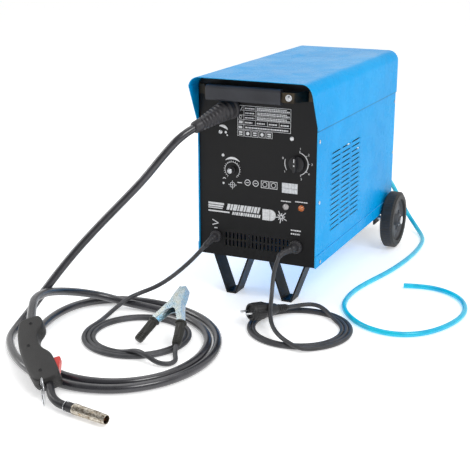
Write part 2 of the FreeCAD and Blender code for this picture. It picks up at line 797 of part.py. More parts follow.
# ---------------------------------------------------------------- cords

def bends(points):
    """Straight runs joined by tangent arcs, each as large as its two runs allow."""
    edges = []
    radii = []
    start = points[0]
    for before, corner, after in zip(points, points[1:], points[2:]):
        back = before - corner
        ahead = after - corner
        reach = 0.45 * min(back.Length, ahead.Length)
        half_turn = (math.pi - back.getAngle(ahead)) / 2
        radius = reach / math.tan(half_turn)
        inside = unit(unit(back) + unit(ahead)) * (radius / math.cos(half_turn) - radius)
        enter = corner + unit(back) * reach
        leave = corner + unit(ahead) * reach
        edges.append(Part.LineSegment(start, enter).toShape())
        edges.append(Part.Arc(enter, corner + inside, leave).toShape())
        radii.append(radius)
        start = leave
    edges.append(Part.LineSegment(start, points[-1]).toShape())
    return Part.Wire(edges), radii


def cord(name, route, diameter):
    """The plain tube of a cord along its route, with its bends and volume reported."""
    size = number(diameter)
    path, radii = bends([Vector(*point) for point in route])
    tube = swept(path, size / 2)
    expected = math.pi * size * size / 4 * path.Length
    print(f"{name}: {path.Length:.0f} mm, tightest bend {min(radii) / size:.1f} diameters, "
          f"volume {tube.Volume / expected:.4f} of section times length")
    print("   bend radii", " ".join(f"{radius:.0f}" for radius in radii))
    return solid_feature(tube)


def coil(centre):
    """The closed outer shape of a flat round coil that lies on the floor."""
    ring = cut(rod(D.coil_outer, D.coil_height, (0, 0, 0)),
               rod(D.coil_inner, D.coil_height + 2, (0, 0, -1)))
    return ring, (centre[0], centre[1], 0)


TORCH_ROUTE = [
    TORCH_EXIT, (-127, -118, 403), (-158, -143, 362), (-196, -166, 308), (-238, -192, 258),
    (-282, -222, 206), (-326, -258, 148), (-362, -300, 88), (-385, -346, 36), (-390, -392, 12),
    (-376, -434, 9), (-350, -470, 9), (-308, -511, 9), (-254, -549, 9), (-186, -577, 9),
    (-112, -583, 9), (-38, -560, 9), (20, -505, 9), (52, -432, 9), (58, -350, 9), (34, -268, 9),
    (-16, -200, 9), (-86, -153, 9), (-170, -133, 9), (-256, -137, 9), (-318, -165, 9),
    (-354, -218, 9), (-362, -286, 9), (-350, -356, 9), (-328, -418, 9), (-290, -474, 9),
    (-240, -520, 9), (-180, -549, 9), (-112, -554, 9), (-46, -533, 9), (4, -487, 9), (31, -425, 9),
    (36, -352, 9), (15, -276, 9), (-32, -217, 9), (-106, -173, 9), (-186, -163, 9),
    (-250, -167, 13), (-300, -186, 28), (-332, -228, 46), (-346, -280, 64), (-348, -334, 80),
    (-339, -386, 88), (-322, -424, 86), (-288.7, -476.8, 71.3),
]
EARTH_LEAD = [
    EARTH_EXIT, (-128, -62, 107), (-150, -88, 82), (-174, -112, 60), (-198, -132, 45),
    (-222, -152, 36), (-241, -180, 28), (-252, -212, 15), (-257, -242, 6), (-257, -268, 5),
]
EARTH_TAIL = [
    (-116, -396, 10), (-88, -402, 16), (-60, -414, 15), (-32, -420, 8), (-9, -411, 5.2),
    (-4, -389, 5.2),
]
EARTH_COIL_CENTRE = (-140, -306)
MAINS_LEAD = [
    MAINS_EXIT, (72, -66, 110), (75, -82, 80), (82, -104, 54), (94, -142, 37), (120, -190, 24),
    (158, -226, 18), (198, -238, 10),
]
MAINS_COIL_CENTRE = (155, -125)
PLUG_FACE = Vector(54, -155, 36)
PLUG_END = Vector(105, -67, 24.5)
MAINS_TAIL = [(200, -43, 13), (175, -22, 18), (147, -17, 21.5), (122, -37.8, 21.5), PLUG_END]
GAS_ROUTE = [
    (112, 612, 160), (112, 642, 160), (115, 672, 147), (123, 696, 118), (140, 706, 80),
    (164, 704, 44), (192, 688, 17), (216, 656, 6), (234, 610, 6), (242, 552, 6), (244, 488, 6),
    (241, 424, 6), (234, 360, 6), (224, 300, 6), (210, 243, 6), (198, 190, 6), (191, 140, 6),
    (191, 90, 6), (200, 38, 6), (226, -10, 6), (272, -56, 6), (324, -77, 6), (377, -70, 6),
    (421, -32, 6), (451, 32, 6), (463, 96, 6), (455, 152, 6), (430, 201, 6), (385, 235, 6),
    (334, 243, 6), (288, 228, 6),
]


def make_mains_lead():
    tubes = [cord("mains lead", MAINS_LEAD, D.mains_size), cord("mains tail", MAINS_TAIL, D.mains_size)]
    node("mains_cable", group(*tubes))
    ring, at = coil(MAINS_COIL_CENTRE)
    node("mains_cable_coil", ring, at)
    axis = PLUG_END - PLUG_FACE
    length = axis.Length
    shell = turned("mains_plug", [
        (0, 0), (0, 18), (3, 20), (34, 20), (44, 16), (68, 12), (72, 8.5), (length, 6.4), (length, 0),
    ])
    pins = [rod(2.4, 20, (1, side, 0), "-x") for side in (-9.5, 9.5)]
    node("mains_plug", joined(shell, *pins), tuple(PLUG_FACE), Rotation(Vector(1, 0, 0), axis))


def make_gas_hose():
    node("gas_hose", group(cord("gas hose", GAS_ROUTE, D.gas_size)))


# ---------------------------------------------------------------- torch

TORCH_POINT = Vector(-281, -471, 74)
TORCH_HEADING = Vector(0.6347, -0.7344, -0.2403)
TORCH_SIDE = Vector(0.7706, 0.5787, 0.2669)
TORCH_TURN = Rotation(TORCH_HEADING, TORCH_SIDE, TORCH_HEADING.cross(TORCH_SIDE), "XYZ")
HALF_TORCH = 15
TRIGGER_PIVOT = (184, 19)
RING_CENTRE = (236, -9, 12.2)
RING_RADIUS = 25
RING_WIRE = 1.25
LUG_HOLE = (211.8, -10.6)
NECK_AXIS = 3
NECK_BEND = 70
NECK_ANGLE = math.radians(42)


def make_torch_handle():
    """The curved pistol-type shell, in the torch's own frame: u to the head, v to the trigger."""
    part = body("torch_handle")
    outline = [
        (0, -26), (0, 6), (8, 13), (30, 16), (44, 12), (56, 3), (73, 0), (106, 4), (126, 17),
        (140, 21), (194, 28), (203, 24), (208, 13), (208, -8), (197, -22), (178, -27), (123, -37),
        (64, -40), (15, -34),
    ]
    pad(part, "XY", [outline], -HALF_TORCH, HALF_TORCH)
    rounded(part, 5, lambda edge: edge.BoundBox.ZLength < 0.1)
    pad(part, "XY", [rect(198, 217, -15.8, -5.6)], 4.4, 7.4)
    pierce(part, "XY", [(*LUG_HOLE, 2.6)])
    carve(part, "XY", [rect(138, 192, 4, 40)], -6.5, 6.5)
    pad(part, "XY", [(*TRIGGER_PIVOT, 1.5)], -7, 7)
    node("torch_handle", part, tuple(TORCH_POINT), TORCH_TURN)


def make_trigger():
    part = body("torch_trigger")
    outline = [(142, 14), (142, 31), (145, 34), (152, 33), (188, 25), (188, 14)]
    pad(part, "XY", [outline], -6, 6)
    pierce(part, "XY", [(*TRIGGER_PIVOT, 1.5 + D.running_fit)])
    node("torch_trigger", part, tuple(TORCH_POINT), TORCH_TURN)


def make_neck():
    """The bent swan neck, its collar and the gas nozzle on its end."""
    start = Vector(208, NECK_AXIS, 0)
    straight = Vector(230, NECK_AXIS, 0)
    centre = straight + Vector(0, NECK_BEND, 0)

    def on_bend(angle):
        return centre + Vector(math.sin(angle), -math.cos(angle), 0) * NECK_BEND

    heading = Vector(math.cos(NECK_ANGLE), math.sin(NECK_ANGLE), 0)
    bend_end = on_bend(NECK_ANGLE)
    collar = bend_end + heading * 12
    nozzle = collar + heading * 14
    path = Part.Wire([
        Part.LineSegment(start, straight).toShape(),
        Part.Arc(straight, on_bend(NECK_ANGLE / 2), bend_end).toShape(),
        Part.LineSegment(bend_end, collar).toShape(),
    ])
    neck = joined(solid_feature(swept(path, 8)), rod(9.5, 14, tuple(collar), tuple(heading)))
    node("torch_neck", neck, tuple(TORCH_POINT), TORCH_TURN)
    tip = rod(3, 62, tuple(nozzle), tuple(heading))
    shell = cut(cone(10.5, 9, 76, tuple(nozzle), tuple(heading)),
                cone(8.3, 7.6, 73, tuple(nozzle + heading * 4), tuple(heading)))
    node("gas_nozzle", joined(shell, tip), tuple(TORCH_POINT), TORCH_TURN)


def torch_point(u, v, n=0):
    return TORCH_POINT + TORCH_TURN.multVec(Vector(u, v, n))


def make_hanging_ring():
    """A wire ring that stands on the floor in the lug beside the neck."""
    centre = torch_point(*RING_CENTRE)
    ahead = Vector(TORCH_HEADING.x, TORCH_HEADING.y, 0)
    across = Vector(0, 0, 1).cross(ahead)
    ring = DOC.addObject("Part::Torus", "ring")
    ring.Radius1 = RING_RADIUS
    ring.Radius2 = RING_WIRE
    node("hanging_ring", group(ring), (centre.x, centre.y, RING_RADIUS + RING_WIRE),
         Rotation(Vector(0, 0, 1), across))


# ---------------------------------------------------------------- earth clamp

CLAMP_TOP = Vector(-71, -221, 92)
CLAMP_LEFT = Vector(-121, -341, 8)
CLAMP_RIGHT = Vector(-26, -342, 23)
CLAMP_DOWN = unit((CLAMP_LEFT + CLAMP_RIGHT) / 2 - CLAMP_TOP)
CLAMP_ACROSS = CLAMP_RIGHT - CLAMP_LEFT
CLAMP_ACROSS = unit(CLAMP_ACROSS - CLAMP_DOWN * CLAMP_ACROSS.dot(CLAMP_DOWN))
CLAMP_TURN = Rotation(CLAMP_ACROSS, -CLAMP_DOWN, CLAMP_DOWN.cross(CLAMP_ACROSS), "XYZ")
CLAMP_PIVOT = 47
HANDLE_START = Vector(33, -89, 0)
HANDLE_END = Vector(47.6, -143, 0)
CLAMP_PIN = 2.5
GRIP_TIP = 3


def clamp_half(name, side, half_width, pin_radius):
    """A pressed channel: jaw above the pivot, handle below it, webbed along its outer edge."""
    outline = [
        (0.3, -2), (8, 0), (13, -20), (15, -38), (37.5, -87), (28.5, -91), (10, -62), (-8, -54),
        (-8, -40), (0.3, -30),
    ]
    inside = [
        (-10, -3), (7.2, -3), (11.4, -20.3), (13.4, -38.4), (36.5, -92), (28, -96), (-10, -96),
    ]
    part = body(name)
    wall = 1.5
    pad(part, "XY", [[(side * x, y) for x, y in outline]], -half_width, half_width)
    carve(part, "XY", [[(side * x, y) for x, y in inside]], wall - half_width, half_width - wall)
    if pin_radius:
        pierce(part, "XY", [(0, -CLAMP_PIVOT, pin_radius)])
    return part


def clamp_grip(side):
    """A tapered plastic grip on the end of a handle, with a round tip."""
    start = Vector(side * HANDLE_START.x, HANDLE_START.y, 0)
    end = Vector(side * HANDLE_END.x, HANDLE_END.y, 0)
    axis = end - start
    shaft = cone(11, 9.5, axis.Length, tuple(start), tuple(unit(axis)))
    return joined(shaft, cone(9.5, 6.5, GRIP_TIP, tuple(end), tuple(unit(axis))))


def make_clamp():
    top = tuple(CLAMP_TOP)
    fixed_width = 11
    moving_width = 9.2
    fixed = joined(clamp_half("clamp_fixed_half", 1, fixed_width, 0),
                   rod(CLAMP_PIN, 2 * fixed_width + 3, (0, -CLAMP_PIVOT, -fixed_width - 1.5)))
    node("clamp_fixed_half", fixed, top, CLAMP_TURN)
    moving = clamp_half("clamp_moving_half", -1, moving_width, CLAMP_PIN + D.running_fit)
    node("clamp_moving_half", moving, top, CLAMP_TURN)
    node("clamp_fixed_grip", clamp_grip(1), top, CLAMP_TURN)
    node("clamp_moving_grip", clamp_grip(-1), top, CLAMP_TURN)
    sleeve = cut(rod(6, 12, (0, -CLAMP_PIVOT, -6)), rod(3.5, 14, (0, -CLAMP_PIVOT, -7)))
    legs = []
    for side in (1, -1):
        heading = unit(Vector(side * 0.45, -1, 0))
        start = Vector(side * 4.6, -CLAMP_PIVOT, side * 4)
        legs.append(rod(1, 30, tuple(start), tuple(heading)))
    node("clamp_spring", joined(sleeve, *legs), top, CLAMP_TURN)


def make_earth_lead():
    """The lead to the coil, and the tail over the coil into the end of the fixed grip."""
    out = CLAMP_TURN.multVec(unit(HANDLE_END - HANDLE_START))
    end = CLAMP_TOP + CLAMP_TURN.multVec(HANDLE_END) + out * GRIP_TIP
    tail = EARTH_TAIL + [end + out * 20, end]
    print("earth tail ends:", [tuple(round(value, 1) for value in point) for point in tail[-2:]])
    tubes = [cord("earth lead", EARTH_LEAD, D.earth_size), cord("earth tail", tail, D.earth_size)]
    node("earth_cable", group(*tubes))
    ring, at = coil(EARTH_COIL_CENTRE)
    node("earth_cable_coil", ring, at)


# ---------------------------------------------------------------- the whole machine

def make_all():
    write_sheet()
    make_base_pan()
    make_front_panel()
    make_rear_panel()
    side = D.body_width / 2
    right = make_side_panel("right_side_panel", side - D.metal, side)
    add_louvres(right)
    make_side_panel("left_side_panel", -side, D.metal - side)
    make_divider()
    make_hood()
    make_hood_hinges()
    make_handle()
    make_screws()
    make_feet()
    make_bottle_tray()
    make_cradle()
    make_wheels()
    make_controls()
    make_torch_boot()
    make_gland("earth_gland", D.earth_x, 14, EARTH_EXIT, D.earth_size)
    make_gland("mains_gland", D.mains_x, 15.5, MAINS_EXIT, D.mains_size)
    make_transformer()
    make_power_parts()
    make_feeder()
    make_spool()
    node("torch_hose", group(cord("torch hose", TORCH_ROUTE, D.hose_size)))
    make_torch_handle()
    make_trigger()
    make_neck()
    make_hanging_ring()
    make_clamp()
    make_earth_lead()
    make_mains_lead()
    make_gas_hose()
    DOC.recompute()


def check_and_write():
    for item in DOC.Objects:
        if {"Invalid", "Error"} & set(item.State):
            raise SystemExit(f"{item.Label} did not recompute: {item.State}")
    for item in NODES:
        if item.Shape.isNull() or not item.Shape.isValid():
            raise SystemExit(f"{item.Label} has no valid shape")
    os.makedirs("parts", exist_ok=True)
    for item in NODES:
        item.Shape.exportStep(f"parts/{item.Label}.step")
    print(len(NODES), "sub-parts written")


make_all()
check_and_write()
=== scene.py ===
"""Looks of the wire-feed welder: paint, prints, cords, torch, clamp, plug and the photo's studio.

Metres throughout, in the row frame.  Places on the machine are given from the front panel's face,
as in the CAD source: x to the right, y to the rear and z up.  at() moves them into the row frame.
"""

import math

import bmesh
import bpy
from mathutils import Matrix, Vector

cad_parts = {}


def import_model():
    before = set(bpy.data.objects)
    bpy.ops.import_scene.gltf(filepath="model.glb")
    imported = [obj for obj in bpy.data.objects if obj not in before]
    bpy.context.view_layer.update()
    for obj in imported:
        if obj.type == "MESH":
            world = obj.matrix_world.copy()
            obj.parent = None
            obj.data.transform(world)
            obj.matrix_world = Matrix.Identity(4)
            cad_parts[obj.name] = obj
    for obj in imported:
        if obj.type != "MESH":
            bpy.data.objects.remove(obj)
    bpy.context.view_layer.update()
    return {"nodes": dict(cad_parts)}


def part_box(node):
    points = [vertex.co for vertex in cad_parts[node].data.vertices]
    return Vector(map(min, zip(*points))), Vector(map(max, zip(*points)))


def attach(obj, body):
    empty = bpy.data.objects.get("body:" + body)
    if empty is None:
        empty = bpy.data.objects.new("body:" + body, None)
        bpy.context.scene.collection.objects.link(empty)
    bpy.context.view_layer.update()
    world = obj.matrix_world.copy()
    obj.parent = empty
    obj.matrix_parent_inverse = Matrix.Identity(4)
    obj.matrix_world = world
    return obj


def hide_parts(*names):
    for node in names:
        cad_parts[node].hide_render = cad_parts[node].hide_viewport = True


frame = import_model()
NODES = frame["nodes"]
PANEL_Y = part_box("front_panel")[0].y
HOOD_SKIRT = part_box("top_hood")[0].z
MM = 0.001
UP = Vector((0, 0, 1))
OUTWARD = Vector((0, -1, 0))
SHARP_ANGLE = 35


def at(x, y, z):
    """A point given in metres from the front panel's face, in the row frame."""
    return Vector((x, y + PANEL_Y, z))


def show(name, data):
    """A new object in the scene that holds the data."""
    item = bpy.data.objects.new(name, data)
    bpy.context.scene.collection.objects.link(item)
    return item


# ---------- camera

CAMERA_PLACE = (0.8975, -2.4148, 0.8554)
CAMERA_DOWN = 17.2
CAMERA_ROUND = 24.8


def make_camera():
    data = bpy.data.cameras.new("photo_camera")
    data.lens = 78.82
    data.sensor_width = 36
    camera = show("photo_camera", data)
    camera.location = CAMERA_PLACE
    camera.rotation_euler = (math.radians(90 - CAMERA_DOWN), 0, math.radians(CAMERA_ROUND))
    bpy.context.scene.camera = camera


make_camera()


# ---------- cords

TORCH_SIZE = 0.018
EARTH_SIZE = 0.01
MAINS_SIZE = 0.0095
GAS_SIZE = 0.012


def on_floor(size, places):
    """Points of a cord of the given size where it lies on the floor."""
    return [(x, y, size / 2) for x, y in places]


TORCH_ROUTE = [
    (-0.112, -0.09, 0.414), (-0.127, -0.118, 0.403), (-0.158, -0.143, 0.362),
    (-0.196, -0.166, 0.308), (-0.238, -0.192, 0.258), (-0.282, -0.222, 0.206),
    (-0.326, -0.258, 0.148), (-0.362, -0.3, 0.088), (-0.385, -0.346, 0.036), (-0.39, -0.392, 0.012),
    *on_floor(TORCH_SIZE, [
        (-0.376, -0.434), (-0.35, -0.47), (-0.308, -0.511), (-0.254, -0.549), (-0.186, -0.577),
        (-0.112, -0.583), (-0.038, -0.56), (0.02, -0.505), (0.052, -0.432), (0.058, -0.35),
        (0.034, -0.268), (-0.016, -0.2), (-0.086, -0.153), (-0.17, -0.133), (-0.256, -0.137),
        (-0.318, -0.165), (-0.354, -0.218), (-0.362, -0.286), (-0.35, -0.356), (-0.328, -0.418),
        (-0.29, -0.474), (-0.24, -0.52), (-0.18, -0.549), (-0.112, -0.554), (-0.046, -0.533),
        (0.004, -0.487), (0.031, -0.425), (0.036, -0.352), (0.015, -0.276), (-0.032, -0.217),
        (-0.106, -0.173), (-0.186, -0.163)]),
    (-0.25, -0.167, 0.013), (-0.3, -0.186, 0.028), (-0.332, -0.228, 0.046), (-0.346, -0.28, 0.064),
    (-0.348, -0.334, 0.08), (-0.339, -0.386, 0.088), (-0.322, -0.424, 0.086),
    (-0.2887, -0.4768, 0.0713),
]
EARTH_LEAD = [
    (-0.112, -0.042, 0.13), (-0.128, -0.062, 0.107), (-0.15, -0.088, 0.082),
    (-0.174, -0.112, 0.06), (-0.198, -0.132, 0.045), (-0.222, -0.152, 0.036),
    (-0.241, -0.18, 0.028), (-0.252, -0.212, 0.015), (-0.257, -0.242, 0.006),
]
EARTH_TAIL = [
    (-0.088, -0.402, 0.018), (-0.06, -0.414, 0.018), (-0.032, -0.42, 0.008),
    (-0.009, -0.411, 0.0052), (-0.004, -0.389, 0.0052), (-0.0208, -0.3652, 0.0092),
    (-0.0256, -0.3484, 0.019),
]
MAINS_LEAD = [
    (0.076, -0.05, 0.132), (0.072, -0.066, 0.11), (0.075, -0.082, 0.08), (0.082, -0.104, 0.054),
    (0.094, -0.142, 0.037), (0.12, -0.19, 0.024), (0.158, -0.226, 0.018), (0.198, -0.238, 0.01),
]
MAINS_TAIL = [
    (0.175, -0.022, 0.018), (0.147, -0.017, 0.0215), (0.122, -0.0378, 0.0215),
    (0.105, -0.067, 0.0245),
]
GAS_ROUTE = [
    (0.112, 0.612, 0.16), (0.112, 0.642, 0.16), (0.115, 0.672, 0.147), (0.123, 0.696, 0.118),
    (0.14, 0.706, 0.08), (0.164, 0.704, 0.044), (0.192, 0.688, 0.017),
    *on_floor(GAS_SIZE, [
        (0.216, 0.656), (0.234, 0.61), (0.242, 0.552), (0.244, 0.488), (0.241, 0.424),
        (0.234, 0.36), (0.224, 0.3), (0.21, 0.243), (0.198, 0.19), (0.191, 0.14), (0.191, 0.09),
        (0.2, 0.038), (0.226, -0.01), (0.272, -0.056), (0.324, -0.077), (0.377, -0.07),
        (0.421, -0.032), (0.451, 0.032), (0.463, 0.096), (0.455, 0.152), (0.43, 0.201),
        (0.385, 0.235), (0.334, 0.243), (0.288, 0.228)]),
]
COIL_STEPS = 20


def coil_turns(centre, height, start, sweep, outer, inner):
    """Control points of a flat coil that winds inward, its angles in degrees."""
    count = round(COIL_STEPS * sweep / 360)
    points = []
    for index in range(count + 1):
        share = index / count
        angle = math.radians(start + sweep * share)
        radius = (outer + (inner - outer) * share) / math.cos(math.pi / COIL_STEPS)
        points.append((centre[0] + radius * math.cos(angle), centre[1] + radius * math.sin(angle),
                       height))
    return points


def make_wire(name, places, size, roundness, resolution):
    """A smooth round wire: the places are the control points of one quadratic spline."""
    data = bpy.data.curves.new(name, "CURVE")
    data.dimensions = "3D"
    data.bevel_depth = size / 2
    data.bevel_resolution = roundness
    data.resolution_u = resolution
    data.use_fill_caps = True
    spline = data.splines.new("NURBS")
    spline.points.add(len(places) - 1)
    for point, place in zip(spline.points, places):
        point.co = (*place, 1)
    spline.order_u = 3
    spline.use_endpoint_u = True
    return show(name, data)


def make_cord(name, route, size):
    return make_wire(name, [at(*place) for place in route], size, 5, 6)


torch_hose = make_cord("torch_hose_tube", TORCH_ROUTE, TORCH_SIZE)
earth_coil = coil_turns((-0.14, -0.306), EARTH_SIZE / 2, 168, 831, 0.1155, 0.0925)
earth_cable = make_cord("earth_cable_tube", EARTH_LEAD + earth_coil + EARTH_TAIL, EARTH_SIZE)
mains_coil = coil_turns((0.155, -0.125), MAINS_SIZE / 2, 302, 830, 0.1145, 0.0925)
mains_cable = make_cord("mains_cable_tube", MAINS_LEAD + mains_coil + MAINS_TAIL, MAINS_SIZE)
gas_hose = make_cord("gas_hose_tube", GAS_ROUTE, GAS_SIZE)


# ---------- materials

class Nodes:
    """The nodes of a material or a world, made and joined by short calls."""

    def __init__(self, owner):
        owner.use_nodes = True
        self.tree = owner.node_tree

    def add(self, kind, inputs=None, **settings):
        item = self.tree.nodes.new(f"ShaderNode{kind}")
        for key, value in settings.items():
            setattr(item, key, value)
        for key, value in (inputs or {}).items():
            self.feed(item.inputs[key], value)
        return item

    def feed(self, socket, value):
        if isinstance(value, bpy.types.NodeSocket):
            self.tree.links.new(value, socket)
        else:
            socket.default_value = value

    def ramp(self, factor, low, high, start=0.0, end=1.0):
        return self.add("MapRange", {"Value": factor, "From Min": low, "From Max": high,
                                     "To Min": start, "To Max": end}).outputs["Result"]

    def math(self, operation, first, second=0.0):
        return self.add("Math", {0: first, 1: second}, operation=operation).outputs[0]


class Surface(Nodes):
    """A procedural material under construction: noise in metres of the object's own space."""

    def __init__(self, name, roughness=0.5, metallic=0.0, **shader):
        self.material = bpy.data.materials.new(name)
        super().__init__(self.material)
        self.shader = self.tree.nodes["Principled BSDF"]
        self.set(Metallic=metallic, Roughness=roughness, **shader)
        self.place = self.add("TexCoord").outputs["Object"]

    def set(self, **inputs):
        for key, value in inputs.items():
            self.feed(self.shader.inputs[key.replace("_", " ")], value)

    def stretched(self, scale):
        return self.add("Mapping", {"Vector": self.place, "Scale": scale}).outputs["Vector"]

    def noise(self, scale, detail=4.0, stretch=None, rough=0.55):
        vector = self.stretched(stretch) if stretch else self.place
        inputs = {"Vector": vector, "Scale": scale, "Detail": detail, "Roughness": rough}
        return self.add("TexNoise", inputs).outputs["Fac"]

    def mix(self, factor, first, second):
        return self.add("Mix", {0: factor, 6: first, 7: second}, data_type="RGBA").outputs[2]

    def axis(self, name):
        return self.add("SeparateXYZ", {"Vector": self.place}).outputs[name]

    def edges(self, radius):
        """1 where the surface turns sharply within the radius, and 0 where it is flat."""
        soft = self.add("Bevel", {"Radius": radius}, samples=6).outputs["Normal"]
        hard = self.add("NewGeometry").outputs["Normal"]
        dot = self.add("VectorMath", {0: soft, 1: hard}, operation="DOT_PRODUCT")
        return self.ramp(dot.outputs["Value"], 0.985, 0.9)

    def cover(self, colour, gloss, height, depth, strength=1.0, soft_edge=0.0004):
        """Joins colour, roughness, and bumps of the given depth over softly rounded edges."""
        rounded = self.add("Bevel", {"Radius": soft_edge}, samples=6).outputs["Normal"]
        inputs = {"Height": height, "Distance": depth, "Strength": strength, "Normal": rounded}
        bumps = self.add("Bump", inputs).outputs["Normal"]
        self.set(Base_Color=colour, Roughness=gloss, Normal=bumps)
        return self


def rgb(red, green, blue):
    """A colour of the photograph, 0 to 255, as linear light."""
    return (*[((v / 255 + 0.055) / 1.055) ** 2.4 if v > 10 else v / 255 / 12.92
              for v in (red, green, blue)], 1.0)


def finish(name, dark, light, roughness, spread=0.1, patches=18, grain=900, depth=0.0001,
           worn=None, stretch=None, **shader):
    """A general finish: patchy colour and gloss, a fine grain, and edges worn to another colour."""
    made = Surface(name, **shader)
    patch = made.noise(patches, 5)
    fine = made.noise(grain, 3, stretch)
    colour = made.mix(made.ramp(patch, 0.3, 0.7), dark, light)
    if worn:
        scuffed = made.math("MULTIPLY", made.edges(0.0009), made.ramp(made.noise(90, 5), 0.35, 0.6))
        colour = made.mix(scuffed, colour, worn)
    gloss = made.math("ADD", made.math("MULTIPLY", fine, 0.4), made.math("MULTIPLY", patch, 0.6))
    gloss = made.ramp(gloss, 0.3, 0.7, roughness - spread, roughness + spread)
    return made.cover(colour, gloss, fine, depth)


def blue_paint():
    """Azure enamel: faint orange peel, hairline scuffs, a painted pale highlight along every edge,
    dust that also paints a pale sheen on what faces up, and a painted shadow line under the
    hood's skirt."""
    made = Surface("blue_enamel", Specular_IOR_Level=0.035)
    patch = made.noise(5, 4)
    colour = made.mix(made.ramp(patch, 0.3, 0.7), rgb(0, 154, 224), rgb(0, 170, 240))
    scratch = made.ramp(made.noise(60, 5, (1, 30, 3), 0.6), 0.66, 0.8)
    colour = made.mix(made.math("MULTIPLY", scratch, 0.12), colour, rgb(90, 190, 240))
    # Painted highlight: every edge is lightened evenly to a paler blue.
    colour = made.mix(made.math("MULTIPLY", made.edges(0.0016), 0.6), colour, rgb(110, 205, 250))
    # Dust and painted sheen: faces that point up are paled in noisy patches towards the grey-blue
    # of the top's sheen.
    normal = made.add("TexCoord").outputs["Normal"]
    upward = made.ramp(made.add("SeparateXYZ", {"Vector": normal}).outputs["Z"], 0.9, 1.0)
    dust = made.ramp(made.noise(5.5, 5, (1.6, 1, 1)), 0.3, 0.7, 0.04, 0.22)
    top_dust_and_sheen = made.math("MULTIPLY", upward, dust)
    colour = made.mix(top_dust_and_sheen, colour, rgb(186, 206, 220))
    # Painted shadow: a dark line at the height of the hood's skirt, for the shade its edge casts on
    # the side panel.
    off_skirt_shadow = made.math("ABSOLUTE", made.math("SUBTRACT", made.axis("Z"), HOOD_SKIRT))
    joint = made.ramp(off_skirt_shadow, 0.0007, 0.0016, 0.85, 0)
    colour = made.mix(joint, colour, rgb(0, 66, 112))
    smudges = made.ramp(made.noise(22, 6), 0.35, 0.7, 0.2, 0.36)
    return made.cover(colour, smudges, made.noise(300, 1), 0.00003, 0.5, 0.0008)


def metal(name, dark, light, roughness, stretch=(1, 12, 1), **shader):
    return finish(name, dark, light, roughness, patches=26, depth=0.00005, stretch=stretch,
                  metallic=1.0, **shader)


def zinc_plate():
    """Bright zinc: the straw colour of its passivation, with patches of blue painted in as the
    reflection of the blue casing.
    """
    made = Surface("zinc_plate", metallic=1.0)
    patch = made.noise(45, 4)
    # Painted reflection: the blue patches stand in for the blue casing mirrored in the zinc; the
    # straw patches are its passivation.
    straw_and_reflected_blue = made.mix(made.ramp(patch, 0.35, 0.65), rgb(150, 200, 225), rgb(226, 226, 205))
    streak = made.ramp(made.noise(70, 5, (6, 1, 6)), 0.35, 0.7)
    colour = made.mix(streak, straw_and_reflected_blue, rgb(205, 216, 226))
    return made.cover(colour, made.ramp(streak, 0, 1, 0.22, 0.42), made.noise(700, 4), 0.00008)


def nickel_plate():
    """Nickel over copper: warm, streaked along its length, with spatter and heat stain."""
    made = Surface("nickel_plate", metallic=1.0)
    streak = made.noise(240, 5, (0.6, 0.5, 1.6), 0.65)
    colour = made.mix(made.ramp(streak, 0.35, 0.65), rgb(116, 102, 82), rgb(226, 220, 208))
    stain = made.ramp(made.noise(70, 4), 0.55, 0.75)
    colour = made.mix(stain, colour, rgb(178, 146, 98))
    gloss = made.ramp(streak, 0.3, 0.7, 0.2, 0.42)
    return made.cover(colour, gloss, made.noise(900, 4), 0.00016)


AXLE_Y = 0.54
AXLE_Z = 0.075
HUB_RADIUS = 0.054
TREAD_RADIUS = 0.0715
TREAD_RIBS = 60.0


def wheel_material():
    """Black tyre with a fine tread ripple, and a grey moulded hub."""
    made = Surface("tyre_and_hub")
    axle = at(0, AXLE_Y, AXLE_Z)
    offset = made.add("VectorMath", {0: made.place, 1: axle}, operation="SUBTRACT").outputs[0]
    flat = made.add("VectorMath", {0: offset, 1: (0, 1, 1)}, operation="MULTIPLY").outputs[0]
    radius = made.add("VectorMath", {0: flat}, operation="LENGTH").outputs["Value"]
    is_tyre = made.ramp(radius, HUB_RADIUS - 0.0005, HUB_RADIUS + 0.0005)
    dust = made.ramp(made.noise(30, 5), 0.35, 0.7)
    rubber = made.mix(dust, rgb(28, 28, 29), rgb(52, 51, 50))
    hub = made.mix(dust, rgb(92, 94, 98), rgb(112, 114, 118))
    parts = made.add("SeparateXYZ", {"Vector": offset}).outputs
    angle = made.math("ARCTAN2", parts["Z"], parts["Y"])
    ribs = made.math("SINE", made.math("MULTIPLY", angle, TREAD_RIBS))
    tread = made.math("MULTIPLY", made.ramp(ribs, 0.3, 0.6), made.ramp(radius, TREAD_RADIUS, 0.073))
    height = made.math("ADD", tread, made.math("MULTIPLY", made.noise(900, 3), 0.2))
    colour = made.mix(is_tyre, hub, rubber)
    return made.cover(colour, made.ramp(dust, 0, 1, 0.5, 0.75), height, 0.0008)


def wound_wire(name, metallic, scale, distortion, direction, colours, speckle, gloss, depth):
    """Wire wound in close turns, as bands that follow each other in the given direction."""
    made = Surface(name, metallic=metallic)
    inputs = {"Vector": made.place, "Scale": scale, "Distortion": distortion, "Detail": 1.0}
    turns = made.add("TexWave", inputs, bands_direction=direction).outputs["Fac"]
    speckles = made.ramp(made.noise(speckle, 3), 0.3, 0.7, *gloss)
    return made.cover(made.mix(turns, *colours), speckles, turns, depth)


def laminated_core():
    made = Surface("laminated_core", metallic=0.8)
    inputs = {"Vector": made.place, "Scale": 400.0, "Distortion": 0.2}
    sheets = made.add("TexWave", inputs, bands_direction="X").outputs["Fac"]
    rust = made.ramp(made.noise(60, 6), 0.55, 0.75)
    colour = made.mix(rust, rgb(96, 98, 104), rgb(104, 74, 52))
    return made.cover(colour, made.ramp(rust, 0, 1, 0.4, 0.7), sheets, 0.0003)


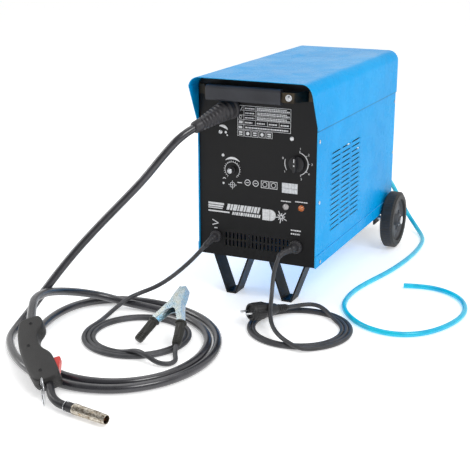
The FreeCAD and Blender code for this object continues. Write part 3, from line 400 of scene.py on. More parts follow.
def lamp_glass():
    """One clear and one amber lens, told apart by their place along the panel."""
    made = Surface("lamp_glass", Transmission_Weight=0.35, Coat_Weight=0.6)
    right = made.ramp(made.axis("X"), 0.088, 0.09)
    glow = made.ramp(made.noise(260, 3), 0.3, 0.7)
    clear = made.mix(glow, rgb(168, 164, 166), rgb(236, 232, 232))
    amber = made.mix(glow, rgb(196, 84, 14), rgb(248, 142, 44))
    colour = made.mix(right, clear, amber)
    return made.cover(colour, made.ramp(glow, 0, 1, 0.12, 0.26), made.noise(700, 2), 0.00015)


def cord_rubber(name, dark, light, roughness, gloss=0.3):
    """Extruded sheath: dusty patches, faint die lines and a soft sheen."""
    made = Surface(name, Coat_Weight=gloss, Coat_Roughness=0.2)
    dust = made.ramp(made.noise(28, 6), 0.35, 0.7)
    fine = made.noise(600, 4)
    height = made.math("ADD", fine, made.math("MULTIPLY", made.noise(90, 3), 1.5))
    shine = made.ramp(fine, 0.3, 0.7, roughness - 0.08, roughness + 0.08)
    return made.cover(made.mix(dust, dark, light), shine, height, 0.00012)


def floor_material():
    made = Surface("studio_floor", Emission_Color=(1, 1, 1, 1), Emission_Strength=0.42)
    patch = made.noise(3, 4)
    colour = made.mix(patch, (0.93, 0.93, 0.93, 1), (0.97, 0.97, 0.97, 1))
    return made.cover(colour, made.ramp(patch, 0.3, 0.7, 0.5, 0.6), made.noise(40, 2), 0.0001)


BLUE = blue_paint()
BLACK_PANEL = finish("satin_black_panel", rgb(12, 12, 14), rgb(19, 19, 21), 0.42, patches=9,
                     grain=1300, depth=0.00006, Specular_IOR_Level=0.3)
BLACK_STEEL = finish("black_strap_steel", rgb(12, 12, 13), rgb(20, 20, 21), 0.5, spread=0.08,
                     grain=1100, depth=0.00012, worn=rgb(70, 72, 76), Specular_IOR_Level=0.25)
GRIP = finish("grip_sleeve", rgb(36, 38, 44), rgb(52, 54, 61), 0.5, grain=800, depth=0.00012)
STEEL = metal("galvanised_sheet", rgb(120, 124, 128), rgb(176, 180, 184), 0.4)
BRIGHT = metal("bright_steel", rgb(170, 172, 176), rgb(226, 228, 230), 0.25)
BRACKET = metal("bracket_steel", rgb(40, 38, 36), rgb(96, 86, 72), 0.42)
ALLOY = metal("cast_alloy", rgb(140, 142, 146), rgb(196, 198, 202), 0.42, stretch=(3, 3, 3))
BRASS = metal("machined_brass", rgb(150, 112, 48), rgb(220, 182, 104), 0.28)
CONTROL = finish("control_plastic", rgb(20, 20, 22), rgb(34, 34, 37), 0.42, grain=1600,
                 depth=0.00008, worn=rgb(74, 74, 78))
MOULDED = finish("moulded_plastic", rgb(24, 24, 26), rgb(40, 40, 43), 0.5, grain=1400)
BOOT = cord_rubber("boot_rubber", rgb(34, 33, 36), rgb(58, 56, 60), 0.5, 0.15)
HOSE = cord_rubber("hose_rubber", rgb(30, 30, 36), rgb(54, 53, 60), 0.32, 0.9)
EARTH = cord_rubber("earth_sheath", rgb(52, 53, 57), rgb(80, 80, 84), 0.5, 0.2)
MAINS = cord_rubber("mains_sheath", rgb(44, 45, 48), rgb(70, 70, 74), 0.5, 0.2)
GAS = cord_rubber("gas_tube_skin", rgb(0, 184, 226), rgb(0, 216, 242), 0.3, 0.25)
TORCH = finish("torch_shell", rgb(28, 27, 27), rgb(40, 39, 38), 0.5, patches=30, grain=1700,
               depth=0.00018, worn=rgb(96, 96, 100))
RED = finish("trigger_red", rgb(206, 34, 30), rgb(234, 60, 50), 0.35, depth=0.00006,
             Coat_Weight=0.3)
NECK = finish("neck_sleeve", rgb(26, 26, 30), rgb(46, 46, 50), 0.4, grain=700)
NOZZLE = nickel_plate()
COPPER = metal("contact_copper", rgb(150, 84, 48), rgb(214, 138, 92), 0.3)
ZINC = zinc_plate()
CLAMP_GRIP = finish("clamp_sleeve", rgb(28, 28, 24), rgb(48, 48, 42), 0.42, worn=rgb(92, 92, 84))
PLUG = finish("plug_rubber", rgb(26, 26, 28), rgb(44, 44, 46), 0.5)
PRINT = finish("white_print", rgb(205, 207, 210), rgb(240, 241, 243), 0.5, patches=300,
               grain=2500, depth=0.00002)
LABEL = finish("silver_label", rgb(196, 200, 206), rgb(230, 233, 236), 0.35, patches=200,
               grain=2500, depth=0.00002)
LAMPS = lamp_glass()
WHEEL = wheel_material()
COIL_WIRE = wound_wire("copper_winding", 0.9, 90.0, 0.3, "Z",
                       (rgb(84, 38, 14), rgb(205, 116, 62)), 200, (0.25, 0.4), 0.0006)
SPOOL_WIRE = wound_wire("wire_layers", 1.0, 320.0, 0.5, "X",
                        (rgb(110, 62, 34), rgb(226, 150, 104)), 300, (0.22, 0.36), 0.0004)

CAD_FINISHES = {
    BLUE: ["base_pan", "right_side_panel", "left_side_panel", "top_hood"],
    BLACK_PANEL: ["front_panel", "rear_panel"],
    STEEL: ["divider_panel", "feeder_plate", "drive_roll", "pressure_arm", "pressure_roll"],
    BLACK_STEEL: ["left_front_foot", "right_front_foot", "bottle_tray", "bottle_cradle"],
    BRIGHT: ["hood_hinges_fixed", "hood_hinges_moving", "casing_screws", "wheel_axle",
             "hanging_ring"],
    BRACKET: ["handle_bracket"],
    GRIP: ["handle_grip"],
    WHEEL: ["left_wheel", "right_wheel"],
    CONTROL: ["power_knob", "speed_knob", "power_switch", "control_board"],
    LAMPS: ["indicator_lamps"],
    BOOT: ["torch_boot", "earth_gland", "mains_gland"],
    laminated_core(): ["transformer_core", "output_choke"],
    COIL_WIRE: ["transformer_windings"],
    SPOOL_WIRE: ["wire_winding"],
    ALLOY: ["rectifier", "feed_motor", "fan_motor", "gas_valve"],
    MOULDED: ["fan_impeller", "spool_hub", "wire_spool"],
    BRASS: ["gas_inlet"],
    TORCH: ["torch_handle"],
    RED: ["torch_trigger"],
    NECK: ["torch_neck"],
    NOZZLE: ["gas_nozzle"],
    ZINC: ["clamp_fixed_half", "clamp_moving_half", "clamp_spring"],
    CLAMP_GRIP: ["clamp_fixed_grip", "clamp_moving_grip"],
    PLUG: ["mains_plug"],
}


def dress(item, surface):
    item.data.materials.clear()
    item.data.materials.append(surface.material)


for surface, names in CAD_FINISHES.items():
    for name in names:
        dress(NODES[name], surface)
dress(torch_hose, HOSE)
dress(earth_cable, EARTH)
dress(mains_cable, MAINS)
dress(gas_hose, GAS)


# ---------- mesh helpers

def add_mesh(name, points, faces, surface, body="machine", slot=None, replaces=None,
             sharp=SHARP_ANGLE):
    """A mesh in the row frame that rides on a body, smooth but for its sharp edges."""
    mesh = bpy.data.meshes.new(name)
    mesh.from_pydata([tuple(point) for point in points], [], faces)
    mesh.polygons.foreach_set("use_smooth", [True] * len(mesh.polygons))
    mesh.set_sharp_from_angle(angle=math.radians(sharp))
    item = show(name, mesh)
    dress(item, surface)
    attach(item, body)
    if replaces:
        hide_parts(replaces)
    return item


def basis(axis):
    """A turn whose Z runs along the axis and whose Y stays as near up as it can."""
    ahead = Vector(axis).normalized()
    side = UP.cross(ahead)
    side = side.normalized() if side.length > 1e-6 else Vector((1, 0, 0))
    return Matrix((side, ahead.cross(side), ahead)).transposed()


def whole_turn(steps):
    return [2 * math.pi * step / steps for step in range(steps)]


def circle(centre, axis, radius, sides, ripple=None):
    """Points round an axis; the ripple gives a factor on the radius for each angle."""
    turn = basis(axis)
    ring = []
    for angle in whole_turn(sides):
        reach = radius * (ripple(angle) if ripple else 1)
        ring.append(Vector(centre) + turn @ Vector((math.cos(angle), math.sin(angle), 0)) * reach)
    return ring


def flutes(count, depth):
    return lambda angle: 1 - depth * (0.5 - 0.5 * math.cos(count * angle)) ** 2


def bend(start, out, inward, end, share):
    """(place, heading) on the cubic curve that leaves start along out and ends along inward."""
    first, second = start + out, end - inward
    rest = 1 - share
    place = (start * rest ** 3 + first * 3 * rest * rest * share
             + second * 3 * rest * share * share + end * share ** 3)
    heading = (out * rest * rest + (second - first) * 2 * rest * share + inward * share * share)
    return place, heading


class Shell:
    """Points and faces of one piece, gathered from lathes, slabs and sweeps."""

    def __init__(self):
        self.points = []
        self.faces = []

    def rings(self, rings, closed=False):
        """Joins equal rings of points into a skin, capped unless it closes on itself."""
        first = len(self.points)
        sides = len(rings[0])
        for ring in rings:
            self.points.extend(ring)
        count = len(rings)
        for row in range(count if closed else count - 1):
            low = first + row * sides
            high = first + (row + 1) % count * sides
            for side in range(sides):
                after = (side + 1) % sides
                self.faces.append((low + side, low + after, high + after, high + side))
        if not closed:
            self.faces.append(tuple(reversed(range(first, first + sides))))
            last = first + (count - 1) * sides
            self.faces.append(tuple(range(last, last + sides)))
        return self

    def lathe(self, origin, axis, profile, sides=40, ripple=None, rippled=(0, 0), closed=False):
        """Turns (along, radius) pairs about an axis, with the ripple only between two places."""
        ahead = Vector(axis).normalized()
        rings = []
        for along, radius in profile:
            shape = ripple if rippled[0] < along < rippled[1] else None
            rings.append(circle(Vector(origin) + ahead * along, ahead, radius, sides, shape))
        return self.rings(rings, closed)

    def sleeve(self, start, out, end, inward, profile, sides=40):
        """A tapered, bending sleeve: profile gives (share of the way, radius)."""
        rings = []
        for share, radius in profile:
            place, heading = bend(start, out, inward, end, share)
            rings.append(circle(place, heading, radius, sides))
        return self.rings(rings)

    def slab(self, outline, low, high, to_world):
        """A flat outline between two heights; to_world places (x, y, height)."""
        return self.rings([[to_world(x, y, level) for x, y in outline] for level in (low, high)])

    def make(self, name, surface, **rest):
        return add_mesh(name, self.points, self.faces, surface, **rest)


# ---------- prints on the panel

INK_LOW = 0.00003
INK_HIGH = 0.00018
FIGURE_HEIGHT = 5
FIGURE_RING = 35


def on_panel(x, z, level):
    """A point in millimetres across and up the front panel, standing off it by the level."""
    return Vector((x * MM, PANEL_Y - level, z * MM))


def toward(angle):
    return Vector((math.cos(math.radians(angle)), math.sin(math.radians(angle))))


class Print(Shell):
    """Ink on the panel, a sixth of a millimetre thick, drawn in millimetres."""

    def patch(self, outline):
        area = sum(a[0] * b[1] - b[0] * a[1] for a, b in zip(outline, outline[1:] + outline[:1]))
        outline = outline if area > 0 else outline[::-1]
        return self.slab(outline, INK_LOW, INK_HIGH, on_panel)

    def bar(self, left, right, low, high, slant=0.0):
        return self.patch([(left, low), (right, low), (right + slant, high), (left + slant, high)])

    def bars(self, left, widths, gap, low, high, slant):
        for width in widths:
            self.bar(left, left + width, low, high, slant)
            left += width + gap

    def frame(self, left, right, low, high, width=0.9):
        self.bar(left, right, low, low + width)
        self.bar(left, right, high - width, high)
        self.bar(left, left + width, low + width, high - width)
        return self.bar(right - width, right, low + width, high - width)

    def dot(self, x, z, radius):
        return self.patch([(x + radius * math.cos(a), z + radius * math.sin(a))
                           for a in whole_turn(20)])

    def arc(self, x, z, radius, start, end, width, end_width=None, steps=24):
        """A curved stroke in degrees; its width may change to the end width and back."""
        outer, inner = [], []
        for step in range(steps + 1):
            angle = math.radians(start + (end - start) * step / steps)
            swell = math.sin(math.pi * step / steps)
            half = (width + ((end_width or width) - width) * swell) / 2
            for side, line in ((half, outer), (-half, inner)):
                line.append((x + (radius + side) * math.cos(angle),
                             z + (radius + side) * math.sin(angle)))
        return self.patch(outer + inner[::-1])

    def line(self, start, end, width):
        start, end = Vector(start), Vector(end)
        along = (end - start).normalized() * width / 2
        side = Vector((-along.y, along.x))
        return self.patch([start + side, start - side, end - side, end + side])

    def ray(self, x, z, angle, near, far, width):
        """A stroke away from a point, at an angle in degrees, between two distances."""
        way = toward(angle)
        centre = Vector((x, z))
        return self.line(centre + way * near, centre + way * far, width)

    def dashes(self, left, right, low, high, seed, gap=0.9):
        """A broken strip of unequal blocks, standing for a line of print."""
        x = left
        step = seed
        while x < right - 1.2:
            step = (step * 7 + 3) % 11
            width = min(1.6 + 0.42 * step, right - x)
            self.bar(x, x + width, low, high)
            x += width + gap
        return self

    def figure(self, text, x, z, angle):
        """A plain digit of a dial, centred at its angle round the dial's centre."""
        x, z = Vector((x, z)) + toward(angle) * FIGURE_RING
        curve = bpy.data.curves.new("figure", "FONT")
        curve.body = text
        curve.size = FIGURE_HEIGHT * 1.4
        holder = bpy.data.objects.new("figure", curve)
        shape = bpy.data.meshes.new_from_object(holder)
        bpy.data.objects.remove(holder)
        middle = sum(v.co.x for v in shape.vertices) / len(shape.vertices)
        for level, flipped in ((INK_HIGH, False), (INK_LOW, True)):
            first = len(self.points)
            self.points.extend(on_panel(x + v.co.x - middle, z + v.co.y - FIGURE_HEIGHT / 2, level)
                               for v in shape.vertices)
            for face in shape.polygons:
                ring = [first + index for index in face.vertices]
                self.faces.append(tuple(ring[::-1] if flipped else ring))
        bpy.data.meshes.remove(shape)
        return self


def rating_table(ink):
    ink.frame(-48, 80, 402, 456)
    for z in (445, 434, 424, 412.5):
        ink.bar(-47, 79, z, z + 0.8)
    for x, low, high in ((-33, 402, 456), (-4, 425, 456), (24, 412.5, 424), (52, 412.5, 424),
                         (-5, 412.5, 424)):
        ink.bar(x, x + 0.8, low + 0.9, high - 0.9)
    for row, z in enumerate((448.5, 438, 427.5)):
        ink.dashes(-30, -7, z, z + 2.6, row + 2)
        ink.dashes(-1, 77, z - 1.6, z + 1.2, row + 5, 0.7)
        ink.dashes(-1, 70, z + 2.2, z + 4.6, row + 8, 0.8)
    for left in (-30, -1, 28, 56):
        ink.dashes(left, left + 20, 416.5, 419.6, int(left) % 7 + 2)
    ink.dashes(-29, 74, 405.5, 408.6, 4)
    ink.line((-45, 438), (-36, 453), 1.6)
    ink.arc(-40.5, 430, 3.2, 0, 330, 1.2)
    ink.bar(-45, -36, 415.5, 421.5, 1)
    ink.bar(-45, -36, 404.5, 409.5, -1)
    for index in range(5):
        left = -48 + 17.3 * index
        ink.frame(left, left + 15.5, 386.5, 400.5, 0.8)
        if index % 2:
            ink.dot(left + 7.8, 393.5, 4)
        else:
            ink.bar(left + 3.5, left + 12, 389.5, 392)
            ink.bar(left + 3.5, left + 12, 394, 397.5)


def speed_scale(ink, x, z):
    ink.arc(x, z, 18.2, -55, 235, 1.1, steps=48)
    for tick in range(20):
        ink.ray(x, z, -55 + 290 * tick / 19, 18.6, 21.4, 0.8)
    ink.arc(x, z, 27, 48, 128, 1.2, 5.4)
    ink.dot(x - 23, z + 32, 3.4)
    ink.dot(x - 22, z - 33, 2.6)
    ink.arc(x - 20, z - 24, 3.6, 20, 160, 1.4, 2.2)
    ink.arc(x + 0.5, z - 35, 6, 0, 358, 1.2, steps=30)
    ink.bar(x - 10, x + 11, z - 35.6, z - 34.4)
    ink.bar(x - 0.1, x + 1.1, z - 45, z - 25)
    ink.bar(x + 13, x + 24, z - 29, z - 27)


def power_scale(ink, x, z):
    ink.arc(x, z, 26, -72, 78, 1.3, 2.0, steps=36)
    ink.arc(x, z, 29, 163, 214, 1.2, 1.8)
    for number, angle in enumerate((78, 40, 3, -36, -72), start=1):
        ink.ray(x, z, angle, 26, 30, 1.2)
        ink.figure(str(number), x, z, angle)
    ink.figure("0", x, z, 163)
    ink.figure("1", x, z, 214)


def title_strip(ink):
    """Slanted speed stripes, a nozzle and a spark in place of any name."""
    for row, (low, high) in enumerate(((221, 226), (215.5, 219.5), (211.5, 214))):
        ink.bar(-122, -82 - 2 * row, low, high)
    ink.bars(-76, (7, 5, 9, 4, 8, 5, 10, 4, 7, 5), 1.9, 211.5, 226, 4)
    ink.bar(-122, -68, 203.5, 207)
    ink.bars(-62, (4, 3, 5, 3, 6, 3, 4, 5, 3, 6, 4, 3, 4), 1.4, 201, 208.5, 2)
    ink.bar(14, 32, 198, 224)
    ink.patch([(32.8, 198)] + [(34 + 13 * math.cos(a), 211 + 13 * math.sin(a))
                               for a in [math.pi * (k / 12 - 0.5) for k in range(13)]]
              + [(32.8, 224)])
    for spoke in range(10):
        ink.ray(60, 210, 36 * spoke + 8, 2.4, 15 if spoke % 2 else 9.5, 2.0)


def make_prints():
    ink = Print()
    rating_table(ink)
    speed_scale(ink, -61, 307)
    power_scale(ink, 96, 336)
    title_strip(ink)
    ink.arc(-88, 386, 20, 38, 104, 1.4, 6.5)
    ink.dot(-77, 392, 2.8)
    ink.dot(-73.5, 385.5, 1.8)
    for left in (-31, -11):
        ink.arc(left + 8, 281, 6.5, 0, 360, 1.6, steps=36)
        ink.bar(left + 4.5, left + 11.5, 280.2, 281.8)
    for left in (10, 31):
        ink.frame(left, left + 19, 272.5, 289.5, 1.3)
        ink.arc(left + 9.5, 281, 5.2, 0, 355, 1.2)
    ink.dashes(59, 83, 246.5, 249, 3, 0.7)
    ink.dashes(93, 124, 248.5, 251, 6, 0.7)
    ink.line((-112, 184), (-96, 177), 2.2)
    ink.line((-96, 177), (-112, 171.5), 2.2)
    ink.bar(-107, -99, 163.5, 166)
    ink.dashes(84, 108, 181, 184, 2, 0.8)
    ink.dashes(84, 106, 172.5, 176, 5, 1.4)
    ink.make("panel_prints", PRINT)
    label = Print()
    for column in range(5):
        left = 61 + 7.5 * column
        for low, high in ((267, 277.6), (278.1, 290)):
            label.bar(left, left + 7.2, low, high)
    label.make("rating_label", LABEL)


# ---------- knobs, bolts and glands

POWER_CENTRE = at(0.096, -0.002, 0.336)
SPEED_CENTRE = at(-0.061, -0.002, 0.307)
BOLT_CENTRE = at(0.09, -0.04, 0.487)
BOOT_ROOT = at(-0.065, 0, 0.449)
BOOT_START = Vector((-0.006, -0.042, -0.006))
EARTH_X = -0.102
MAINS_X = 0.097
GLAND_Z = 0.145


def before(centre):
    """Places (x, z, level) round a centre, the level being how far before the panel."""
    return lambda x, z, level: centre + Vector((x, -level, z))


def make_knobs():
    """The power switch's bar knob and the wire speed's fluted knob, each with its white mark."""
    centre = POWER_CENTRE
    knob = Shell()
    knob.lathe(centre, OUTWARD, [
        (0, 0), (0, 0.0176), (0.0006, 0.018), (0.003, 0.018), (0.004, 0.0172), (0.0046, 0.014),
        (0.0046, 0)], 64, flutes(32, 0.02), (0.0002, 0.0038))
    rows = []
    for depth, half_width, half_length in ((0.0035, 0.0052, 0.0172), (0.007, 0.0046, 0.017),
                                           (0.0165, 0.0038, 0.0166), (0.0178, 0.003, 0.0158),
                                           (0.018, 0.002, 0.0148)):
        row = []
        for angle in whole_turn(32):
            across, up = (math.copysign(abs(v) ** 0.5, v)
                          for v in (math.cos(angle), math.sin(angle)))
            row.append(centre + Vector((half_width * across, -depth, half_length * up)))
        rows.append(row)
    knob.rings(rows)
    knob.make("power_knob_cap", CONTROL, body="power_dial", slot="control_plastic",
              replaces="power_knob")
    mark = Shell()
    for low, high, half in ((0.006, 0.0145, 0.0009), (-0.0025, 0.001, 0.0014)):
        mark.slab([(-half, low), (half, low), (half, high), (-half, high)], 0.0179, 0.0181,
                  before(centre))
    mark.make("power_knob_mark", PRINT, body="power_dial")

    centre = SPEED_CENTRE
    knob = Shell().lathe(centre, OUTWARD, [
        (0, 0), (0, 0.0078), (0.0008, 0.0082), (0.0022, 0.0082), (0.0028, 0.0074),
        (0.0034, 0.0076), (0.0118, 0.007), (0.0124, 0.0062), (0.0124, 0)], 72,
        flutes(18, 0.1), (0.003, 0.012))
    knob.make("speed_knob_cap", CONTROL, body="speed_dial", slot="control_plastic",
              replaces="speed_knob")
    cap = Shell().lathe(centre, OUTWARD, [
        (0.0118, 0), (0.0118, 0.006), (0.0132, 0.006), (0.0138, 0.0054), (0.0138, 0.0044),
        (0.0135, 0.004), (0.0135, 0)], 48)
    cap.make("speed_knob_disc", BRIGHT, body="speed_dial", slot="bright_steel")
    mark = Shell().slab([(-0.0006, 0.001), (0.0006, 0.001), (0.0006, 0.0038), (-0.0006, 0.0038)],
                        0.0134, 0.0136, before(centre))
    mark.make("speed_knob_mark", PRINT, body="speed_dial")


def make_grip_bolt():
    """The pan head screw that holds the bracket's right end, with a dimple in its head."""
    head = Shell().lathe(BOLT_CENTRE, OUTWARD, [
        (0, 0), (0, 0.0072), (0.0006, 0.0075), (0.0012, 0.0072), (0.0012, 0.0052),
        (0.0026, 0.0049), (0.0036, 0.0036), (0.0039, 0.0016), (0.003, 0.001), (0.0028, 0)], 36)
    head.make("grip_bolt", BRIGHT, slot="bright_steel")


def leaving(route):
    """(place, heading) where a cord's route starts."""
    place, following = (at(*point) for point in route[:2])
    return place, (following - place).normalized()


def rib(along, radius, drop, rise, fall, end):
    """Four places of a profile: a band of the radius between two lower edges."""
    return [(along, radius - drop), (along + rise, radius), (along + fall, radius),
            (along + end, radius - drop)]


def make_boot():
    """The ribbed rubber boot that leads the torch hose out of the panel."""
    end, heading = leaving(TORCH_ROUTE)
    profile = [(0, 0), (0, 0.0255), (0.005, 0.026), (0.05, 0.026), (0.06, 0.0245),
               (0.065, 0.0225)]
    ribs = 9
    for index in range(ribs):
        done = index / (ribs - 1)
        profile += rib(0.12 + 0.62 * done, 0.0234 - 0.0085 * done, 0.0024, 0.012, 0.04, 0.052)
    profile += [(0.82, 0.0122), (0.83, 0.0142), (0.95, 0.0136), (0.985, 0.0126), (1.0, 0.0105),
                (1.0, 0)]
    boot = Shell().sleeve(BOOT_ROOT, BOOT_START, end, heading * 0.036, profile, 48)
    return boot.make("torch_boot_sleeve", BOOT, slot="outlet_rubber", replaces="torch_boot",
                     sharp=50)


def make_gland(name, node, x, radius, route, size):
    """A serrated nut on the panel and the bending strain relief round the cable."""
    centre = at(x, 0, GLAND_Z)
    gland = Shell().lathe(centre, OUTWARD, [
        (0, 0), (0, radius * 0.97), (0.0007, radius), (0.0062, radius), (0.0078, radius * 0.9),
        (0.0084, radius * 0.78), (0.0088, radius * 0.5), (0.0088, 0)], 96, flutes(16, 0.09),
        (0.0003, 0.007))
    end, heading = leaving(route)
    profile = [(0, 0), (0, radius * 0.66), (0.2, radius * 0.64)]
    end_radius = size / 2 + 0.0014
    for ring in range(4):
        share = 0.26 + 0.155 * ring
        taper = radius * 0.62 + (end_radius - radius * 0.62) * share
        profile += [(share, taper), (share + 0.03, taper - 0.0009), (share + 0.06, taper - 0.0009),
                    (share + 0.09, taper - 0.0002)]
    profile += [(0.9, end_radius + 0.0006), (0.98, end_radius), (1.0, end_radius - 0.001),
                (1.0, 0)]
    gland.sleeve(centre + OUTWARD * 0.007, OUTWARD * 0.016, end, heading * 0.016, profile, 36)
    return gland.make(name, BOOT, slot="outlet_rubber", replaces=node)


# ---------- clamp, plug and torch pieces

CLAMP_TOP = at(-0.071, -0.221, 0.092)
CLAMP_LEFT = at(-0.121, -0.341, 0.008)
CLAMP_RIGHT = at(-0.026, -0.342, 0.023)
CLAMP_DOWN = ((CLAMP_LEFT + CLAMP_RIGHT) / 2 - CLAMP_TOP).normalized()
CLAMP_SPAN = CLAMP_RIGHT - CLAMP_LEFT
CLAMP_ACROSS = (CLAMP_SPAN - CLAMP_DOWN * CLAMP_SPAN.dot(CLAMP_DOWN)).normalized()
CLAMP_OUT = CLAMP_DOWN.cross(CLAMP_ACROSS)
CLAMP_PIVOT = -47
SPRING_RADIUS = 5.2
SPRING_WIRE = 0.0018


def in_clamp(x, y, z=0.0):
    """A point in millimetres of the clamp's own frame: jaws up at y 0, handles down."""
    return CLAMP_TOP + (CLAMP_ACROSS * x - CLAMP_DOWN * y + CLAMP_OUT * z) * MM


def make_clamp_grip(name, node, side, body):
    """A fluted sleeve with a flared collar and rings at its end."""
    start = in_clamp(side * 33, -89)
    end = in_clamp(side * 47.6, -143)
    profile = [(-0.0015, 0), (-0.0015, 0.0098), (0, 0.0122), (0.0032, 0.0126), (0.0048, 0.0112),
               (0.0062, 0.0098), (0.008, 0.0101), (0.0085, 0.0102), (0.022, 0.01),
               (0.038, 0.0097), (0.0405, 0.0096)]
    for ring in range(3):
        profile += rib(0.042 + 0.0045 * ring, 0.0099, 0.0011, 0.0008, 0.0028, 0.0036)
    profile += [(0.0565, 0.0092), (0.0582, 0.0078), (0.0588, 0.0062), (0.0588, 0)]
    grip = Shell().lathe(start, end - start, profile, 72, flutes(12, 0.1), (0.0082, 0.0404))
    return grip.make(name, CLAMP_GRIP, body=body, slot="clamp_grip", replaces=node)


def spring_wire(name, places, body):
    wire = make_wire(name, places, SPRING_WIRE, 3, 12)
    dress(wire, BRIGHT)
    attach(wire, body)
    return wire


def make_clamp_spring():
    """The torsion spring round the pivot: its coil rests on the fixed half, its last leg moves."""
    turns = 4.42
    count = 60
    coil = []
    for index in range(count + 1):
        share = index / count
        angle = math.radians(-10) - 2 * math.pi * turns * share
        coil.append(in_clamp(SPRING_RADIUS * math.cos(angle),
                             CLAMP_PIVOT + SPRING_RADIUS * math.sin(angle), -5 + 10 * share))
    wire = spring_wire("clamp_spring_wire", [in_clamp(18, -77, -5)] + coil, "machine")
    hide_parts("clamp_spring")
    leg = spring_wire("clamp_spring_leg", [coil[-1], in_clamp(-11, -62, 5), in_clamp(-18, -77, 5)],
                      "clamp_jaw")
    return [wire, leg]


def make_plug():
    """A moulded two-pin plug: ribbed grip, waist and jointed strain relief."""
    face = at(0.054, -0.155, 0.036)
    end = at(0.105, -0.067, 0.0245)
    axis = end - face
    length = axis.length
    profile = [(0.0035, 0), (0.0035, 0.0136), (0, 0.0142), (0, 0.0178), (0.0012, 0.0188),
               (0.007, 0.0196), (0.0085, 0.0186), (0.0095, 0.0198), (0.031, 0.0198),
               (0.0335, 0.019), (0.036, 0.0178), (0.046, 0.0156), (0.058, 0.0136),
               (0.067, 0.0122), (0.0695, 0.011)]
    joints = 5
    for joint in range(joints):
        done = joint / joints
        profile += rib(0.0705 + (length - 0.0735) * done, 0.0096 - 0.0022 * done, 0.0014,
                       0.0008, 0.003, 0.0038)
    profile += [(length - 0.002, 0.0066), (length, 0.0062), (length, 0)]
    body = Shell().lathe(face, axis, profile, 96, flutes(24, 0.05), (0.009, 0.032))
    body = body.make("mains_plug_body", PLUG, slot="plug_rubber", replaces="mains_plug")
    ahead = -axis.normalized()
    side = UP.cross(axis).normalized()
    pins = Shell()
    for offset in (-0.0095, 0.0095):
        pins.lathe(face - ahead * 0.003 + side * offset, ahead, [
            (0, 0), (0, 0.0024), (0.0205, 0.0024), (0.0217, 0.0019), (0.022, 0.0012),
            (0.022, 0)], 24)
    return [body, pins.make("mains_plug_pins", BRIGHT, slot="bright_steel")]


TORCH_POINT = at(-0.281, -0.471, 0.074)
TORCH_U = Vector((0.634722, -0.734425, -0.240308))
TORCH_V = Vector((0.770639, 0.578689, 0.266898))
TORCH_N = TORCH_U.cross(TORCH_V)
NECK_ANGLE = math.radians(42)


def in_torch(u, v, n=0.0):
    """A point in millimetres of the torch's own frame: u to the head, v to the trigger's side."""
    return TORCH_POINT + (TORCH_U * u + TORCH_V * v + TORCH_N * n) * MM


def softened(corners, passes=2):
    """Corner cutting: each pass replaces a corner by two points a quarter along its sides."""
    for _ in range(passes):
        corners = [tuple(a[k] * (1 - share) + b[k] * share for k in (0, 1))
                   for a, b in zip(corners, corners[1:] + corners[:1]) for share in (0.25, 0.75)]
    return corners


def inset(outline, distance):
    """A clockwise outline moved inward along its own normals."""
    moved = []
    for index, (x, y) in enumerate(outline):
        along = Vector(outline[(index + 1) % len(outline)]) - Vector(outline[index - 1])
        along.normalize()
        moved.append((x + along.y * distance, y - along.x * distance))
    return moved


def carve(item, cutter):
    """Cuts the cutter's shape out of the item for good, and removes the cutter."""
    modifier = item.modifiers.new("slot", "BOOLEAN")
    modifier.object = cutter
    modifier.solver = "EXACT"
    bpy.context.view_layer.update()
    ready = item.evaluated_get(bpy.context.evaluated_depsgraph_get())
    mesh = bpy.data.meshes.new_from_object(ready)
    item.modifiers.clear()
    item.data = mesh
    mesh.set_sharp_from_angle(angle=math.radians(SHARP_ANGLE))
    bpy.data.objects.remove(cutter)


def face_outward(item):
    shape = bmesh.new()
    shape.from_mesh(item.data)
    bmesh.ops.recalc_face_normals(shape, faces=shape.faces)
    shape.to_mesh(item.data)
    shape.free()


def make_torch_handle():
    """The moulded shell in two halves: crowned edges, a parting groove, the trigger's slot, the
    ring's lug and the screws."""
    outline = softened([
        (0, -26), (0, 6), (8, 14), (30, 17), (44, 12), (56, 2), (73, -1), (104, 3), (126, 18),
        (142, 22), (196, 29), (206, 24), (209, 13), (209, -8), (197, -23), (178, -28), (123, -38),
        (64, -41), (15, -35)])
    half = [(1.0, 0), (9.5, 0.15), (12.3, 0.8), (13.9, 2.0), (14.8, 3.8), (15.0, 5.2)]
    profile = [(-n, d) for n, d in reversed(half)] + [(-0.7, 0.7), (0.7, 0.7)] + half
    shell = Shell().rings([[in_torch(u, v, n) for u, v in inset(outline, d)] for n, d in profile])
    handle = shell.make("torch_shell", TORCH, slot="torch_plastic", replaces="torch_handle")
    face_outward(handle)
    slot = Shell().slab([(138, 4), (192, 4), (192, 45), (138, 45)], -6.5, 6.5, in_torch)
    slot = slot.make("slot_cutter", TORCH)
    face_outward(slot)
    carve(handle, slot)

    middle = (211.8, -10.6)
    steps = whole_turn(32)
    outer = [(max(-9, min(6.2, 9 * math.cos(a))) + middle[0], middle[1] + 5.6 * math.sin(a))
             for a in steps]
    inner = [(middle[0] + 2.6 * math.cos(a), middle[1] + 2.6 * math.sin(a)) for a in steps]
    lug = Shell().rings([[in_torch(u, v, n) for u, v in edge]
                         for edge, n in ((outer, 4.4), (outer, 7.4), (inner, 7.4), (inner, 4.4))],
                        closed=True)
    lug = lug.make("torch_lug", TORCH, slot="torch_plastic")
    screws = Shell()
    for u, v in ((24, -8), (92, -20), (176, -6)):
        screws.lathe(in_torch(u, v, 14.9), TORCH_N, [
            (0, 0), (0, 0.0034), (0.0003, 0.0036), (0.0006, 0.0033), (0.0004, 0.0026),
            (0.0001, 0.0022), (0.0001, 0)], 28)
    return [handle, lug, screws.make("torch_screws", BLACK_STEEL, slot="black_steel")]


